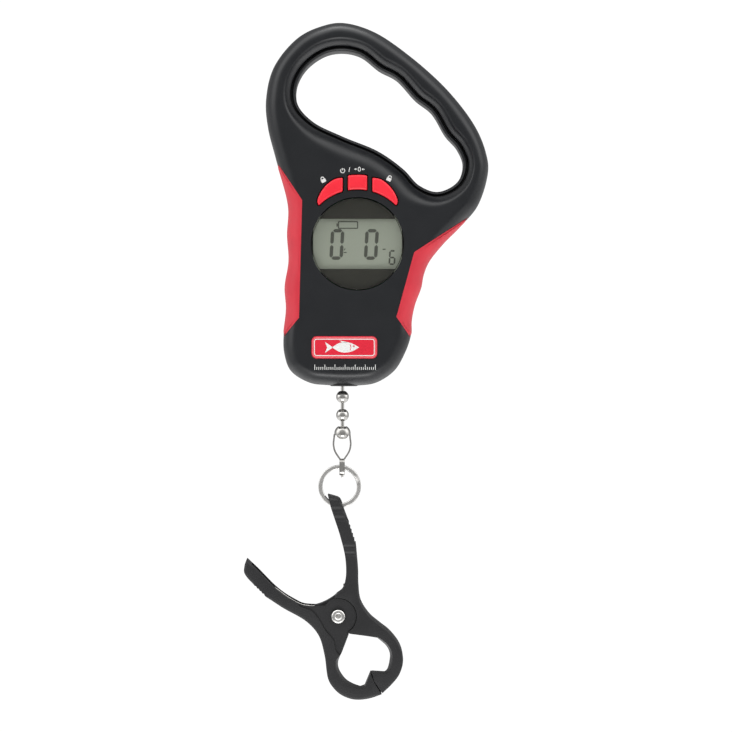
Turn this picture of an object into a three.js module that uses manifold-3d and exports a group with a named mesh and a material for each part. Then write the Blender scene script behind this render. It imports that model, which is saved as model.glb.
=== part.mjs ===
// Digital fish scale with a looped handle, a ball chain and a sprung lip clamp.
// Millimetres. +Z is up, the display faces -Y, and +X is to the viewer's right.
// The origin is at the top of the finger opening, on the line that the load hangs on.

import * as THREE from "three";
import { mergeVertices } from "three/addons/utils/BufferGeometryUtils.js";
import Module from "manifold-3d";

const wasm = await Module();
wasm.setup();

// ---------------------------------------------------------------- driving sizes

const HALF_DEPTH = 13;
const WALL = 3;
const EDGE_ROUND = 4;
const PARTING = 0.15;
const LIP = 2.6;
const GAP = 0.3;
const FAR = 200;
const OUTLINE_STEPS = 84;
const OPENING_STEPS = 48;

const FRONT = -HALF_DEPTH;
const BACK = HALF_DEPTH;
const FRONT_INSIDE = FRONT + WALL;
const BACK_INSIDE = BACK - WALL;

// outer edge of the handle and body, clockwise from the top, as [x, z]
const BODY_EDGE = [
  [0, 14.9], [15.5, 10.5], [33.5, -1.5], [53.15, -19.35], [66.7, -37.4], [71.8, -50],
  [72.95, -59.15], [67.6, -76.8], [58.1, -87.8], [50, -96], [43, -105], [40.45, -111.5],
  [39.4, -117.2], [36.2, -126], [34.6, -134], [34.4, -141], [31.4, -150], [26, -159],
  [16.8, -165], [8, -166.4], [-8, -166.2], [-16.5, -165], [-26, -159], [-29.3, -150],
  [-29.6, -141], [-28.25, -128], [-28.9, -117], [-26.95, -104], [-27.7, -91], [-27.2, -77],
  [-33.6, -52.6], [-37.4, -37.5], [-38.4, -24], [-34.5, -7.5], [-22.4, 7.35], [-10.4, 13.25],
];

// edge of the finger opening in the rear shell, with its three finger grooves
const OPENING_EDGE = [
  [0, 0.35], [8.9, -1.6], [18.5, -8.8], [27, -13.4], [36.5, -23.6], [44.5, -30],
  [51.5, -41.45], [57.2, -48], [60.25, -56], [57.3, -64.8], [47.5, -69.7], [38.3, -66.5],
  [30.5, -58.5], [18, -49.6], [-0.1, -42], [-14.7, -34.75], [-22.15, -26.45],
  [-22.95, -17.6], [-18.4, -8.4], [-9, -1.35],
];

const WINDOW = { x: 7.55, z: -96.05, radius: 22.65 };
const STRIP = { low: -108.4, high: -83.6, rim: 0.7 };
const LENS_DEPTH = [FRONT + 0.15, FRONT + 1.75];
const MASK_DEPTH = [FRONT + 2.05, FRONT + 2.85];
const LCD = { wide: 44, tall: 28, depth: [-9.5, -7.1] };
const LCD_FRAME = { wide: 49, tall: 33, depth: [-9.7, -4.8] };
const BOARD = {
  edge: [[-17, -61.5], [18, -61.5], [29, -70], [29, -126], [-17, -126]],
  depth: [-4.6, -3],
};

const BUTTON = { inner: 26.8, outer: 34.2, half: 4.85, proud: 1, travel: 0.6, gap: 0.35, flange: 0.6 };
const SIDE_BUTTON_TOP = [
  [7.2, 32.8], [11.3, 32.1], [15.8, 28.8], [18.9, 24.4], [20, 21.2], [19.6, 19.3],
];
const SIDE_BUTTON_TIP = [18.9, 18.9];
const SWITCH_SPOTS = { left: [-4.3, -68.8], middle: [7.55, -65.7], right: [19.4, -68.8] };
const SWITCH = { size: 6, body: -8.1, plunger: -8.5, radius: 1.6 };

const GRIP_THICK = 1.5;
const LEFT_GRIP = [
  [-32.6, -52], [-32.4, -55.4], [-19.85, -74.4], [-21.4, -132.6], [-28.9, -141.7],
  [-45, -143], [-48, -52],
];
const RIGHT_GRIP = [
  [70, -81.3], [63.1, -82.6], [35.6, -100.2], [26.8, -132.2], [34.35, -142.8],
  [60, -146], [90, -90],
];

const BADGE = { x: 1.05, z: -147.3, wide: 32.5, tall: 11, corner: 2.6, thick: 0.8, sunk: 0.4 };
const SCREW_SPOTS = [
  [-31, -18], [66.2, -56.5], [-21, -63], [47, -80], [-20, -152.5], [21.5, -152.8],
];

const CELL = { radius: 5.2, length: 44.5, y: 5.8, left: 1.8, right: 13.2 };
const TUB = { x: [-5.3, 20.3], y: [0, 11.2], z: [-122.8, -71.2], wall: 1.4 };
const DOOR = { x: [-6, 21], z: [-122.6, -71.4], thick: 1.6 };

const STEM_X = 0;
const LOAD_CELL = { x: [-6, 28], y: [-4, 4], z: [-147, -137], eyes: [6.5, 11.5] };
const LOAD_SCREWS = { x: [18, 25], z: -142 };
const BUSHING_X = 0.7;
const BODY_BOTTOM = -166;

const BEAD = { radius: 3.2, inner: 2.7, hole: 1.3, head: 1.5, headOffset: 1.55, pin: 0.85 };
const BEAD_Z = [-171.9, -181, -190.1];
const COUPLING_X = -0.2;
const EYE = { low: -210.9, high: -203.6, half: 2.35, strap: 0.8, width: 1.35 };
const RING = { x: -1.4, z: -216.6, radius: 9.6, radial: 1.1, axial: 1.2, corner: 0.45 };

const PIVOT = { x: -2.05, z: -281.15 };
const CLAMP = { half: 6.2, flange: 1.6, core: 3.1, disc: 8.9, hole: 1.9 };
const SPRING = { radius: 4.2, wire: 0.5, low: -1.1, high: 2.5, turns: 3.25, room: 6.3 };

// ---------------------------------------------------------------- shape helpers

const point = ([x, z]) => new THREE.Vector2(x, z);

// points along an open spline through [x, z] pairs
function spline(controls, steps) {
  return new THREE.SplineCurve(controls.map(point)).getPoints(steps);
}

// points round a closed spline through [x, z] pairs
function loop(controls, steps) {
  const corners = controls.map(([x, z]) => new THREE.Vector3(x, z, 0));
  const curve = new THREE.CatmullRomCurve3(corners, true, "centripetal");
  const points = curve.getSpacedPoints(steps).map((p) => new THREE.Vector2(p.x, p.y));
  return points.slice(0, -1);
}

// points along an arc; angles in degrees from +X towards +Z
function arc(x, z, radius, from, to, steps) {
  const points = [];
  for (let i = 0; i <= steps; i += 1) {
    const angle = THREE.MathUtils.degToRad(from + ((to - from) * i) / steps);
    points.push(new THREE.Vector2(x + radius * Math.cos(angle), z + radius * Math.sin(angle)));
  }
  return points;
}

// a closed outline moved inwards, or outwards when the distance is negative
function inset(points, distance) {
  const side = THREE.ShapeUtils.area(points) > 0 ? 1 : -1;
  return points.map((here, i) => {
    const before = points[(i + points.length - 1) % points.length];
    const after = points[(i + 1) % points.length];
    const a = here.clone().sub(before).normalize();
    const b = after.clone().sub(here).normalize();
    const along = a.clone().add(b).normalize();
    const reach = (distance * side) / Math.max(0.5, along.dot(a));
    return new THREE.Vector2(here.x - along.y * reach, here.y + along.x * reach);
  });
}

// the outline of a flat strap along an open route
function ribbon(route, halfThick) {
  const side = (sign) => route.map((here, i) => {
    const before = route[Math.max(i - 1, 0)];
    const after = route[Math.min(i + 1, route.length - 1)];
    const along = after.clone().sub(before).normalize().multiplyScalar(sign * halfThick);
    return new THREE.Vector2(here.x - along.y, here.y + along.x);
  });
  return [...side(1), ...side(-1).reverse()];
}

// a closed shape with at most one hole, whichever way its points run
function shapeOf(points, hole) {
  const ordered = THREE.ShapeUtils.isClockWise(points) ? [...points].reverse() : points;
  const shape = new THREE.Shape(ordered);
  if (hole) shape.holes.push(new THREE.Path(hole));
  return shape;
}

// a plate between two depths, from an outline in X and Z
function plate(points, from, to, hole) {
  const shape = shapeOf(points, hole);
  const geometry = new THREE.ExtrudeGeometry(shape, { depth: to - from, bevelEnabled: false });
  return geometry.rotateX(Math.PI / 2).translate(0, to, 0);
}

// a thick plate with rounded edges, centred on Y = 0
function roundedPlate(points, halfDepth, round, hole) {
  const geometry = new THREE.ExtrudeGeometry(shapeOf(points, hole), {
    depth: 2 * (halfDepth - round),
    bevelThickness: round,
    bevelSize: round,
    bevelOffset: -round,
    bevelSegments: 2,
  });
  return geometry.rotateX(Math.PI / 2).translate(0, halfDepth - round, 0);
}

function box([x0, x1], [y0, y1], [z0, z1]) {
  const geometry = new THREE.BoxGeometry(x1 - x0, y1 - y0, z1 - z0);
  return geometry.translate((x0 + x1) / 2, (y0 + y1) / 2, (z0 + z1) / 2);
}

// a span of a given size about its middle
function span(middle, size) {
  return [middle - size / 2, middle + size / 2];
}

// a span made longer at both ends
function widen([low, high], extra) {
  return [low - extra, high + extra];
}

// a rod along Y between two depths
function rodY(x, z, radius, from, to, sides = 16) {
  const geometry = new THREE.CylinderGeometry(radius, radius, to - from, sides);
  return geometry.translate(x, (from + to) / 2, z);
}

function rodZ(x, y, radius, from, to, sides = 16) {
  const geometry = new THREE.CylinderGeometry(radius, radius, to - from, sides);
  return geometry.rotateX(Math.PI / 2).translate(x, y, (from + to) / 2);
}

function rodX(y, z, radius, from, to, sides = 16) {
  const geometry = new THREE.CylinderGeometry(radius, radius, to - from, sides);
  return geometry.rotateZ(Math.PI / 2).translate((from + to) / 2, y, z);
}

// a turned piece about a vertical axis, from [radius, z] pairs
function turned(x, profile, sides = 16) {
  return new THREE.LatheGeometry(profile.map(point), sides).rotateX(Math.PI / 2).translate(x, 0, 0);
}

// a turned piece about an axis along Y, from [radius, y] pairs
function turnedY(x, z, profile, sides = 16) {
  return new THREE.LatheGeometry(profile.map(point), sides).translate(x, 0, z);
}

// ---------------------------------------------------------------- cutting and joining

function solid(geometry) {
  const bare = geometry.clone();
  bare.deleteAttribute("normal");
  bare.deleteAttribute("uv");
  const merged = mergeVertices(bare, 1e-4);
  return new wasm.Manifold(new wasm.Mesh({
    numProp: 3,
    vertProperties: new Float32Array(merged.attributes.position.array),
    triVerts: new Uint32Array(merged.index.array),
  }));
}

function join(first, ...others) {
  return others.reduce((whole, piece) => whole.add(solid(piece)), solid(first));
}

function cut(whole, ...tools) {
  return tools.reduce((rest, tool) => rest.subtract(solid(tool)), whole);
}

function geometryOf(manifold) {
  const mesh = manifold.getMesh();
  const geometry = new THREE.BufferGeometry();
  geometry.setAttribute("position", new THREE.BufferAttribute(mesh.vertProperties, 3));
  geometry.setIndex(new THREE.BufferAttribute(mesh.triVerts, 1));
  return geometry;
}

// ---------------------------------------------------------------- materials and nodes

const LOOKS = {
  shell: { color: 0x2d2f32, roughness: 0.5, metalness: 0 },
  grip: { color: 0xd63c4b, roughness: 0.6, metalness: 0 },
  button: { color: 0xf03c48, roughness: 0.4, metalness: 0 },
  lens: { color: 0xcfd6cc, roughness: 0.05, metalness: 0 },
  mask: { color: 0x37372f, roughness: 0.4, metalness: 0 },
  lcd: { color: 0x9ba08f, roughness: 0.2, metalness: 0 },
  board: { color: 0x1f6b3a, roughness: 0.5, metalness: 0 },
  black: { color: 0x17181a, roughness: 0.6, metalness: 0 },
  badge: { color: 0xc22a38, roughness: 0.35, metalness: 0 },
  steel: { color: 0xc9c9c6, roughness: 0.25, metalness: 1 },
  brass: { color: 0xc9a45a, roughness: 0.35, metalness: 1 },
  alloy: { color: 0xb6b9bc, roughness: 0.4, metalness: 1 },
  cell: { color: 0x3f5f8c, roughness: 0.4, metalness: 0.2 },
  clamp: { color: 0x3b3c3e, roughness: 0.6, metalness: 0 },
};

const scale = new THREE.Group();

function part(name, geometry, look) {
  const mesh = new THREE.Mesh(geometry, new THREE.MeshStandardMaterial(LOOKS[look]));
  mesh.name = name;
  scale.add(mesh);
}

// ---------------------------------------------------------------- housing outlines

const bodyEdge = loop(BODY_EDGE, OUTLINE_STEPS);
const rearOpening = loop(OPENING_EDGE, OPENING_STEPS);
const frontOpening = inset(rearOpening, -LIP);

const cavityEdge = inset(bodyEdge, WALL);
const rearCavityHole = inset(rearOpening, -WALL);
const frontCavityHole = inset(frontOpening, -WALL);

const frontSide = box([-FAR, FAR], [-FAR, -PARTING], [-2 * FAR, FAR]);
const rearSide = box([-FAR, FAR], [PARTING, FAR], [-2 * FAR, FAR]);
const bedDepth = GRIP_THICK + GAP;
const gripBed = solid(roundedPlate(inset(bodyEdge, bedDepth), HALF_DEPTH - bedDepth, 2.4));

// the ring of shell that a side grip is let into
function gripRecess(edge) {
  const wider = edge.map(point);
  return solid(plate(inset(wider, -GAP), -FAR, FAR)).subtract(gripBed);
}

const leftRecess = gripRecess(LEFT_GRIP);
const rightRecess = gripRecess(RIGHT_GRIP);

// holes that both shells share: the load stem's bushing in the bottom wall
const bushingSeat = rodZ(BUSHING_X, 0, 7.4, BODY_BOTTOM - 5, BODY_BOTTOM + 1.3);
const bushingBore = rodZ(BUSHING_X, 0, 4.6, BODY_BOTTOM - 5, BODY_BOTTOM + WALL + 1);

// ---------------------------------------------------------------- buttons

function middleButton(grow) {
  const side = BUTTON.half + grow;
  const outer = BUTTON.outer + grow;
  const inner = BUTTON.inner - grow;
  const tilt = (radius) => THREE.MathUtils.radToDeg(Math.asin(side / radius));
  const top = arc(WINDOW.x, WINDOW.z, outer, 90 - tilt(outer), 90 + tilt(outer), 6);
  const bottom = arc(WINDOW.x, WINDOW.z, inner, 90 + tilt(inner), 90 - tilt(inner), 6);
  return [...top, ...bottom];
}

// a side button tapers to a round tip; side is -1 on the left and 1 on the right
function sideButton(side, grow) {
  const inner = arc(0, 0, BUTTON.inner, 47, 74.4, 6);
  const points = [...spline(SIDE_BUTTON_TOP, 12), point(SIDE_BUTTON_TIP), ...inner];
  return inset(points, -grow).map((p) => new THREE.Vector2(WINDOW.x + side * p.x, WINDOW.z + p.y));
}

const BUTTON_EDGES = {
  left: (grow) => sideButton(-1, grow),
  middle: middleButton,
  right: (grow) => sideButton(1, grow),
};

function addButtons() {
  for (const [name, edge] of Object.entries(BUTTON_EDGES)) {
    const [x, z] = SWITCH_SPOTS[name];
    const cap = plate(edge(0), FRONT - BUTTON.proud, FRONT_INSIDE + 0.4);
    const flange = plate(edge(BUTTON.flange), FRONT_INSIDE + 0.2, FRONT_INSIDE + 0.9);
    const stem = rodY(x, z, 1.5, FRONT_INSIDE + 0.5, SWITCH.plunger - BUTTON.travel - 0.1);
    part(`button_${name}`, geometryOf(join(cap, flange, stem)), "button");

    const half = SWITCH.size / 2;
    const base = box([x - half, x + half], [SWITCH.body, BOARD.depth[0] - GAP], [z - half, z + half]);
    const plunger = rodY(x, z, SWITCH.radius, SWITCH.plunger, SWITCH.body + 0.5);
    part(`switch_${name}`, geometryOf(join(base, plunger)), "black");
  }
}

// ---------------------------------------------------------------- housing shells

function badgeEdge(grow) {
  const { x, z, corner } = BADGE;
  const dx = BADGE.wide / 2 - corner;
  const dz = BADGE.tall / 2 - corner;
  const turns = [[dx, dz, 0], [-dx, dz, 90], [-dx, -dz, 180], [dx, -dz, 270]];
  return turns.flatMap(([cx, cz, from]) => arc(x + cx, z + cz, corner + grow, from, from + 90, 3));
}

function addFrontHousing() {
  let shell = solid(roundedPlate(bodyEdge, HALF_DEPTH, EDGE_ROUND, frontOpening));
  shell = shell.intersect(solid(frontSide));
  shell = cut(shell, plate(cavityEdge, FRONT_INSIDE, 1, frontCavityHole));
  for (const [x, z] of SCREW_SPOTS) {
    shell = shell.add(solid(rodY(x, z, 3.25, FRONT_INSIDE - 1, -PARTING)));
    shell = cut(shell, rodY(x, z, 1.4, -8, 1));
  }
  shell = cut(shell, rodY(WINDOW.x, WINDOW.z, WINDOW.radius + 0.35, -FAR, -9, 36));
  for (const edge of Object.values(BUTTON_EDGES)) {
    shell = cut(shell, plate(edge(BUTTON.gap), -FAR, -9));
  }
  shell = cut(shell, plate(badgeEdge(0.1), -FAR, FRONT + BADGE.sunk), bushingSeat, bushingBore);
  shell = shell.subtract(leftRecess).subtract(rightRecess);
  part("front_housing", geometryOf(shell), "shell");
}

function addRearHousing() {
  let shell = solid(roundedPlate(bodyEdge, HALF_DEPTH, EDGE_ROUND, rearOpening));
  shell = shell.intersect(solid(rearSide));
  shell = cut(shell, plate(cavityEdge, -1, BACK_INSIDE, rearCavityHole));
  const tubFront = TUB.y[0] - TUB.wall;
  shell = shell.add(solid(box(widen(TUB.x, TUB.wall), [tubFront, BACK - 1], widen(TUB.z, TUB.wall))));
  shell = shell.add(solid(box([14, 28.5], [LOAD_CELL.y[1] + GAP, BACK - 1], [-147.6, -136.4])));
  for (const [x, z] of SCREW_SPOTS) {
    shell = shell.add(solid(rodY(x, z, 3.8, PARTING, BACK - 1)));
    shell = cut(shell, rodY(x, z, 1.5, -1, BACK), rodY(x, z, 3.1, BACK - 2.3, FAR));
  }
  for (const x of LOAD_SCREWS.x) {
    shell = cut(shell, rodY(x, LOAD_SCREWS.z, 1.6, 3, 10.5));
  }
  const doorway = box(widen(DOOR.x, GAP), [BACK - DOOR.thick - GAP, FAR], widen(DOOR.z, GAP));
  shell = cut(shell, box(TUB.x, [TUB.y[0], FAR], TUB.z), doorway, bushingSeat, bushingBore);
  shell = shell.subtract(leftRecess).subtract(rightRecess);
  part("rear_housing", geometryOf(shell), "shell");
}

function addGrips() {
  const outside = solid(roundedPlate(bodyEdge, HALF_DEPTH, EDGE_ROUND));
  const core = solid(roundedPlate(inset(bodyEdge, GRIP_THICK), HALF_DEPTH - GRIP_THICK, 2.7));
  for (const [name, edge] of Object.entries({ left_grip: LEFT_GRIP, right_grip: RIGHT_GRIP })) {
    const band = solid(plate(edge.map(point), -FAR, FAR));
    part(name, geometryOf(outside.intersect(band).subtract(core)), "grip");
  }
}

function addTrim() {
  const seat = FRONT + BADGE.sunk;
  part("badge", plate(badgeEdge(0), seat - BADGE.thick, seat - 0.05), "badge");
  const top = BODY_BOTTOM + 1.1;
  const bushing = turned(BUSHING_X, [
    [2.6, BODY_BOTTOM - 0.6], [6.4, BODY_BOTTOM - 0.6], [7.1, BODY_BOTTOM + 0.1], [7.1, top],
    [4.3, top], [4.3, -162.8], [5.6, -162.8], [5.6, -161.4], [2.6, -161.4], [2.6, BODY_BOTTOM - 0.6],
  ], 20);
  part("bottom_bushing", bushing, "black");
}

function addHousingScrews() {
  const profile = [
    [0, -7], [1, -6], [1.2, -5], [1.2, 10.9], [2.7, 10.9], [2.7, 12], [2.1, 12.6], [0, 12.6],
  ];
  SCREW_SPOTS.forEach(([x, z], i) => {
    part(`housing_screw_${i + 1}`, turnedY(x, z, profile), "steel");
  });
}

// ---------------------------------------------------------------- display and electronics

function addDisplay() {
  const { x, z, radius } = WINDOW;
  part("window_lens", rodY(x, z, radius, ...LENS_DEPTH, 36), "lens");

  const bezel = solid(rodY(x, z, radius, ...MASK_DEPTH, 36));
  const slot = solid(box([x - radius, x + radius], [-FAR, FAR], [STRIP.low, STRIP.high]));
  const inside = solid(rodY(x, z, radius - STRIP.rim, -FAR, FAR, 36));
  part("window_mask", geometryOf(bezel.subtract(slot.intersect(inside))), "mask");

  const glass = box(span(x, LCD.wide), LCD.depth, span(z, LCD.tall));
  part("lcd_glass", glass, "lcd");
  const frame = solid(box(span(x, LCD_FRAME.wide), LCD_FRAME.depth, span(z, LCD_FRAME.tall)));
  const well = box(span(x, LCD.wide + 2 * GAP), [-FAR, FAR], span(z, LCD.tall + 2 * GAP));
  part("lcd_frame", geometryOf(cut(frame, well)), "black");

  const stripDepth = [LCD.depth[1] + 0.1, BOARD.depth[0] - 0.1];
  part("contact_strip", box(span(x, 39), stripDepth, [-109.6, -107.6]), "black");
  part("circuit_board", plate(BOARD.edge.map(point), ...BOARD.depth), "board");
  const chipDepth = [BOARD.depth[1] + 0.1, BOARD.depth[1] + 1.3];
  part("scale_chip", box(span(x, 9), chipDepth, [-104, -95]), "black");
}

function addBatteries() {
  const { radius, length } = CELL;
  const shoulder = length - 1.6;
  const tip = length - 0.8;
  const profile = [[0, 0], [radius, 0], [radius, shoulder], [1.9, shoulder], [1.9, tip], [0, tip]];
  const upright = turned(CELL.left, profile).translate(0, CELL.y, -117.2);
  const upended = turned(0, profile).rotateX(Math.PI).translate(CELL.right, CELL.y, -77);
  part("battery_left", upright, "cell");
  part("battery_right", upended, "cell");

  const width = [TUB.x[0] + GAP, TUB.x[1] - GAP];
  part("contact_plate_top", box(width, [1.5, 10], [-71.9, -71.5]), "brass");
  part("contact_plate_bottom", box(width, [1.5, 10], [-122.5, -122.1]), "brass");
  part("battery_spring_left", coil(CELL.left, -121.6, -117.9), "brass");
  part("battery_spring_right", coil(CELL.right, -76.5, -72.5), "brass");

  let door = solid(box(DOOR.x, [BACK - DOOR.thick, BACK], DOOR.z));
  door = cut(door, box([2.5, 12.5], [BACK - 0.7, FAR], [DOOR.z[0] + 3, DOOR.z[0] + 6]));
  part("battery_door", geometryOf(door), "shell");
}

// a conical battery spring as one round wire
function coil(x, low, high) {
  const turns = 3;
  const points = [];
  for (let i = 0; i <= turns * 8; i += 1) {
    const t = i / (turns * 8);
    const angle = 2 * Math.PI * turns * t;
    const radius = 3.6 - 1.2 * t;
    points.push(new THREE.Vector3(
      x + radius * Math.cos(angle),
      CELL.y + radius * Math.sin(angle),
      low + (high - low) * t,
    ));
  }
  return wireAlong(points, 0.35, turns * 8);
}

// a round wire with 5 sides through a list of points
function wireAlong(points, radius, steps) {
  const section = new THREE.Shape(arc(0, 0, radius, 0, 288, 4));
  const extrudePath = new THREE.CatmullRomCurve3(points);
  return new THREE.ExtrudeGeometry(section, { steps, extrudePath, bevelEnabled: false });
}

function addLoadCell() {
  let beam = cut(solid(box(LOAD_CELL.x, LOAD_CELL.y, LOAD_CELL.z)), rodZ(STEM_X, 0, 1.3, -FAR, 0));
  for (const x of LOAD_CELL.eyes) {
    beam = cut(beam, rodY(x, LOAD_SCREWS.z, 3.4, -FAR, FAR));
  }
  for (const x of LOAD_SCREWS.x) {
    beam = cut(beam, rodY(x, LOAD_SCREWS.z, 1.7, -FAR, FAR));
  }
  part("load_cell", geometryOf(beam), "alloy");
  const profile = [
    [0, -6.4], [2.6, -6.4], [2.8, -6], [2.8, -4.2], [1.45, -4.2], [1.45, 10], [0, 10],
  ];
  LOAD_SCREWS.x.forEach((x, i) => {
    part(`load_cell_screw_${i + 1}`, turnedY(x, LOAD_SCREWS.z, profile), "steel");
  });
}

// ---------------------------------------------------------------- ball chain

// half of a ball's outline as [radius, z], from one angle to another, in degrees above level
function ball(radius, centre, from, to, steps) {
  return arc(0, centre, radius, from, to, steps).map((p) => [Math.max(p.x, 0), p.y]);
}

function addBeads() {
  const { radius, inner, hole } = BEAD;
  const rim = (r) => THREE.MathUtils.radToDeg(Math.acos(hole / r));
  BEAD_Z.forEach((z, i) => {
    const outside = ball(radius, z, -rim(radius), rim(radius), 6);
    const inside = ball(inner, z, rim(inner), -rim(inner), 4);
    part(`bead_${i + 1}`, turned(STEM_X, [...outside, ...inside, outside[0]]), "steel");
  });
}

const headRim = THREE.MathUtils.radToDeg(Math.acos(BEAD.pin / BEAD.head));

// the lower end of a stem or pin: a ball head held inside the bead below
function lowerHead(beadZ) {
  return ball(BEAD.head, beadZ + BEAD.headOffset, -90, headRim, 4);
}

function addPins() {
  const lowHead = lowerHead(BEAD_Z[0]);
  const stemTop = [[BEAD.pin, -136.7], [2.5, -136.7], [2.5, -134.6], [1.4, -133.8], [0, -133.8]];
  part("load_stem", turned(STEM_X, [...lowHead, ...stemTop], 12), "steel");
  for (const i of [0, 1]) {
    const top = ball(BEAD.head, BEAD_Z[i] - BEAD.headOffset, -headRim, 90, 4);
    part(`bead_pin_${i + 1}`, turned(STEM_X, [...lowerHead(BEAD_Z[i + 1]), ...top], 12), "steel");
  }
}

// ---------------------------------------------------------------- coupling and ring

const COUPLING_LEG = [
  [3.85, -190.2], [4.3, -195.6], [3.8, -198.3], [3, -200.2], [1.8, -202], [0.3, -204.2],
];

// one leg of the coupling as a bent strap; side is -1 on the left and 1 on the right
function couplingLeg(side) {
  const strap = ribbon(spline(COUPLING_LEG, 9), 0.4);
  const points = strap.map((p) => new THREE.Vector2(COUPLING_X + side * p.x, p.y));
  return plate(points, -1.3, 1.3);
}

function couplingCap() {
  const [inner, outer] = [3.5, 4.1];
  const outside = ball(outer, BEAD_Z[2], -12, 56, 5);
  const inside = ball(inner, BEAD_Z[2], 50, -12, 5);
  return turned(STEM_X, [...outside, ...inside, outside[0]], 20);
}

function addCoupling() {
  const middle = (EYE.low + EYE.high) / 2;
  const reach = (EYE.high - EYE.low) / 2 - EYE.half;
  const oval = (radius) => [
    ...arc(0, middle + reach, radius, 0, 180, 6),
    ...arc(0, middle - reach, radius, 180, 360, 6),
  ];
  const strap = plate(oval(EYE.half), -EYE.width, EYE.width, oval(EYE.half - EYE.strap));
  const eye = strap.rotateZ(Math.PI / 2).translate(COUPLING_X, 0, 0);
  const tip = box(span(COUPLING_X, 1.3), [-0.7, 0.7], [EYE.low - 1.3, EYE.low + 0.5]);
  const whole = join(couplingCap(), couplingLeg(-1), couplingLeg(1), eye, tip);
  part("chain_coupling", geometryOf(whole), "steel");
}

function addRing() {
  const { radius, radial, axial, corner } = RING;
  const inside = radius - radial;
  const outside = radius + radial;
  const profile = [
    [outside, -axial + corner], [outside, axial - corner], [outside - corner, axial],
    [inside + corner, axial], [inside, axial - corner], [inside, -axial + corner],
    [inside + corner, -axial], [outside - corner, -axial], [outside, -axial + corner],
  ];
  part("split_ring", turnedY(RING.x, RING.z, profile, 32), "steel");
}

// ---------------------------------------------------------------- lip clamp

// grip teeth along an edge, from one [x, z] to another, sunk to the left of the way along
function teeth([x0, z0], [x1, z1], count, deep) {
  const along = new THREE.Vector2(x1 - x0, z1 - z0);
  const inward = new THREE.Vector2(-along.y, along.x).normalize().multiplyScalar(deep);
  const points = [];
  for (let i = 0; i < count; i += 1) {
    const crest = new THREE.Vector2(x0, z0).addScaledVector(along, i / count);
    const root = new THREE.Vector2(x0, z0).addScaledVector(along, (i + 0.7) / count).add(inward);
    points.push(crest, root);
  }
  points.push(new THREE.Vector2(x1, z1));
  return points;
}

// outer side of the right half, from its tip on the ring down to the jaw's tip
const RIGHT_OUTER = [
  ...spline([[-7.4, -220.4], [-4.2, -221.2], [-1.2, -222.5], [0.7, -228], [2.7, -233.2]], 8),
  ...teeth([3.2, -234.2], [6.6, -244.6], 5, -0.45),
  ...spline([
    [6.9, -247.2], [7.8, -258], [8, -266], [9.1, -273.6], [13.5, -280.5], [18.4, -284.7],
    [23.4, -288.7], [28.6, -295.6], [30.3, -303], [28.4, -310], [24.2, -315.4], [20, -319.4],
  ], 26),
];
const RIGHT_JAW = [
  [14.2, -309], [21.4, -309], [23.2, -305.6], [23.7, -301.2], [22.5, -297.4],
  [17.4, -292.4], [3.8, -290.2],
];
const RIGHT_INNER = [
  [-3.2, -270.4], [-0.8, -268.6], [1.8, -264.5], [1.6, -253], [-1.3, -240.5], [-5.9, -226.5],
];
// the web that joins the right arm to the hub
const RIGHT_WEB = [
  [-1.5, -268.6], [-3.6, -270.6], [-7, -272.9], [-10.5, -274.7], [-13.6, -275.8],
  [-9, -277.4], [-1.5, -276],
];
const RIGHT_RELIEF = [[-2.4, -266], [-9, -268], [-12, -280], [-4, -280]];
const RIGHT_CHANNEL = [
  [-3.3, -223.6], [-1.5, -228], [0.9, -234.6], [4.4, -243.8], [5.2, -250], [6, -258],
  [6.2, -265], [1.8, -265], [-8, -262], [-20, -240], [-20, -221.8], [-8, -221.8],
];

const LEFT_ARM_INNER = [
  [-47.8, -252.6], [-41.6, -258.6], [-33.6, -266.6], [-28.8, -270.7], [-24.5, -273.1],
  [-20, -275.2], [-15, -275.8], [-8.6, -275.8],
];
const LEFT_JAW_INNER = [
  [3.1, -290.2], [-0.6, -300], [-2.2, -304.6], [-1.7, -308], [1.7, -312.9], [8.9, -316.5],
  [10.9, -316], [13.6, -309.4],
];
const LEFT_OUTER = [
  ...spline([
    [19.4, -319.9], [11.8, -322.4], [3.9, -322.3], [-2.7, -318.9], [-7.1, -312.4], [-9, -300],
    [-11.9, -290.6], [-17.9, -283.8], [-29.9, -276.8], [-37.9, -271.5],
  ], 26),
  ...teeth([-38.5, -271], [-43.6, -266], 4, -0.35),
  ...spline([[-44.3, -265.2], [-48.1, -261.1], [-49.1, -259]], 4),
];
const LEFT_CHANNEL = [
  [-12.1, -287.1], [-16.7, -282.5], [-29.2, -275.2], [-38.3, -269.1], [-45.3, -262],
  [-46.6, -259], [-45.4, -255.4], [-38, -240], [-8, -262], [-3, -284],
];

// room for the spring's two legs in the hub, as spans in X and Z
const LEG_SLOTS = [[[-30, -1.9], [-284, -276.2]], [[-2, 3.4], [-277, -262.5]]];

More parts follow.
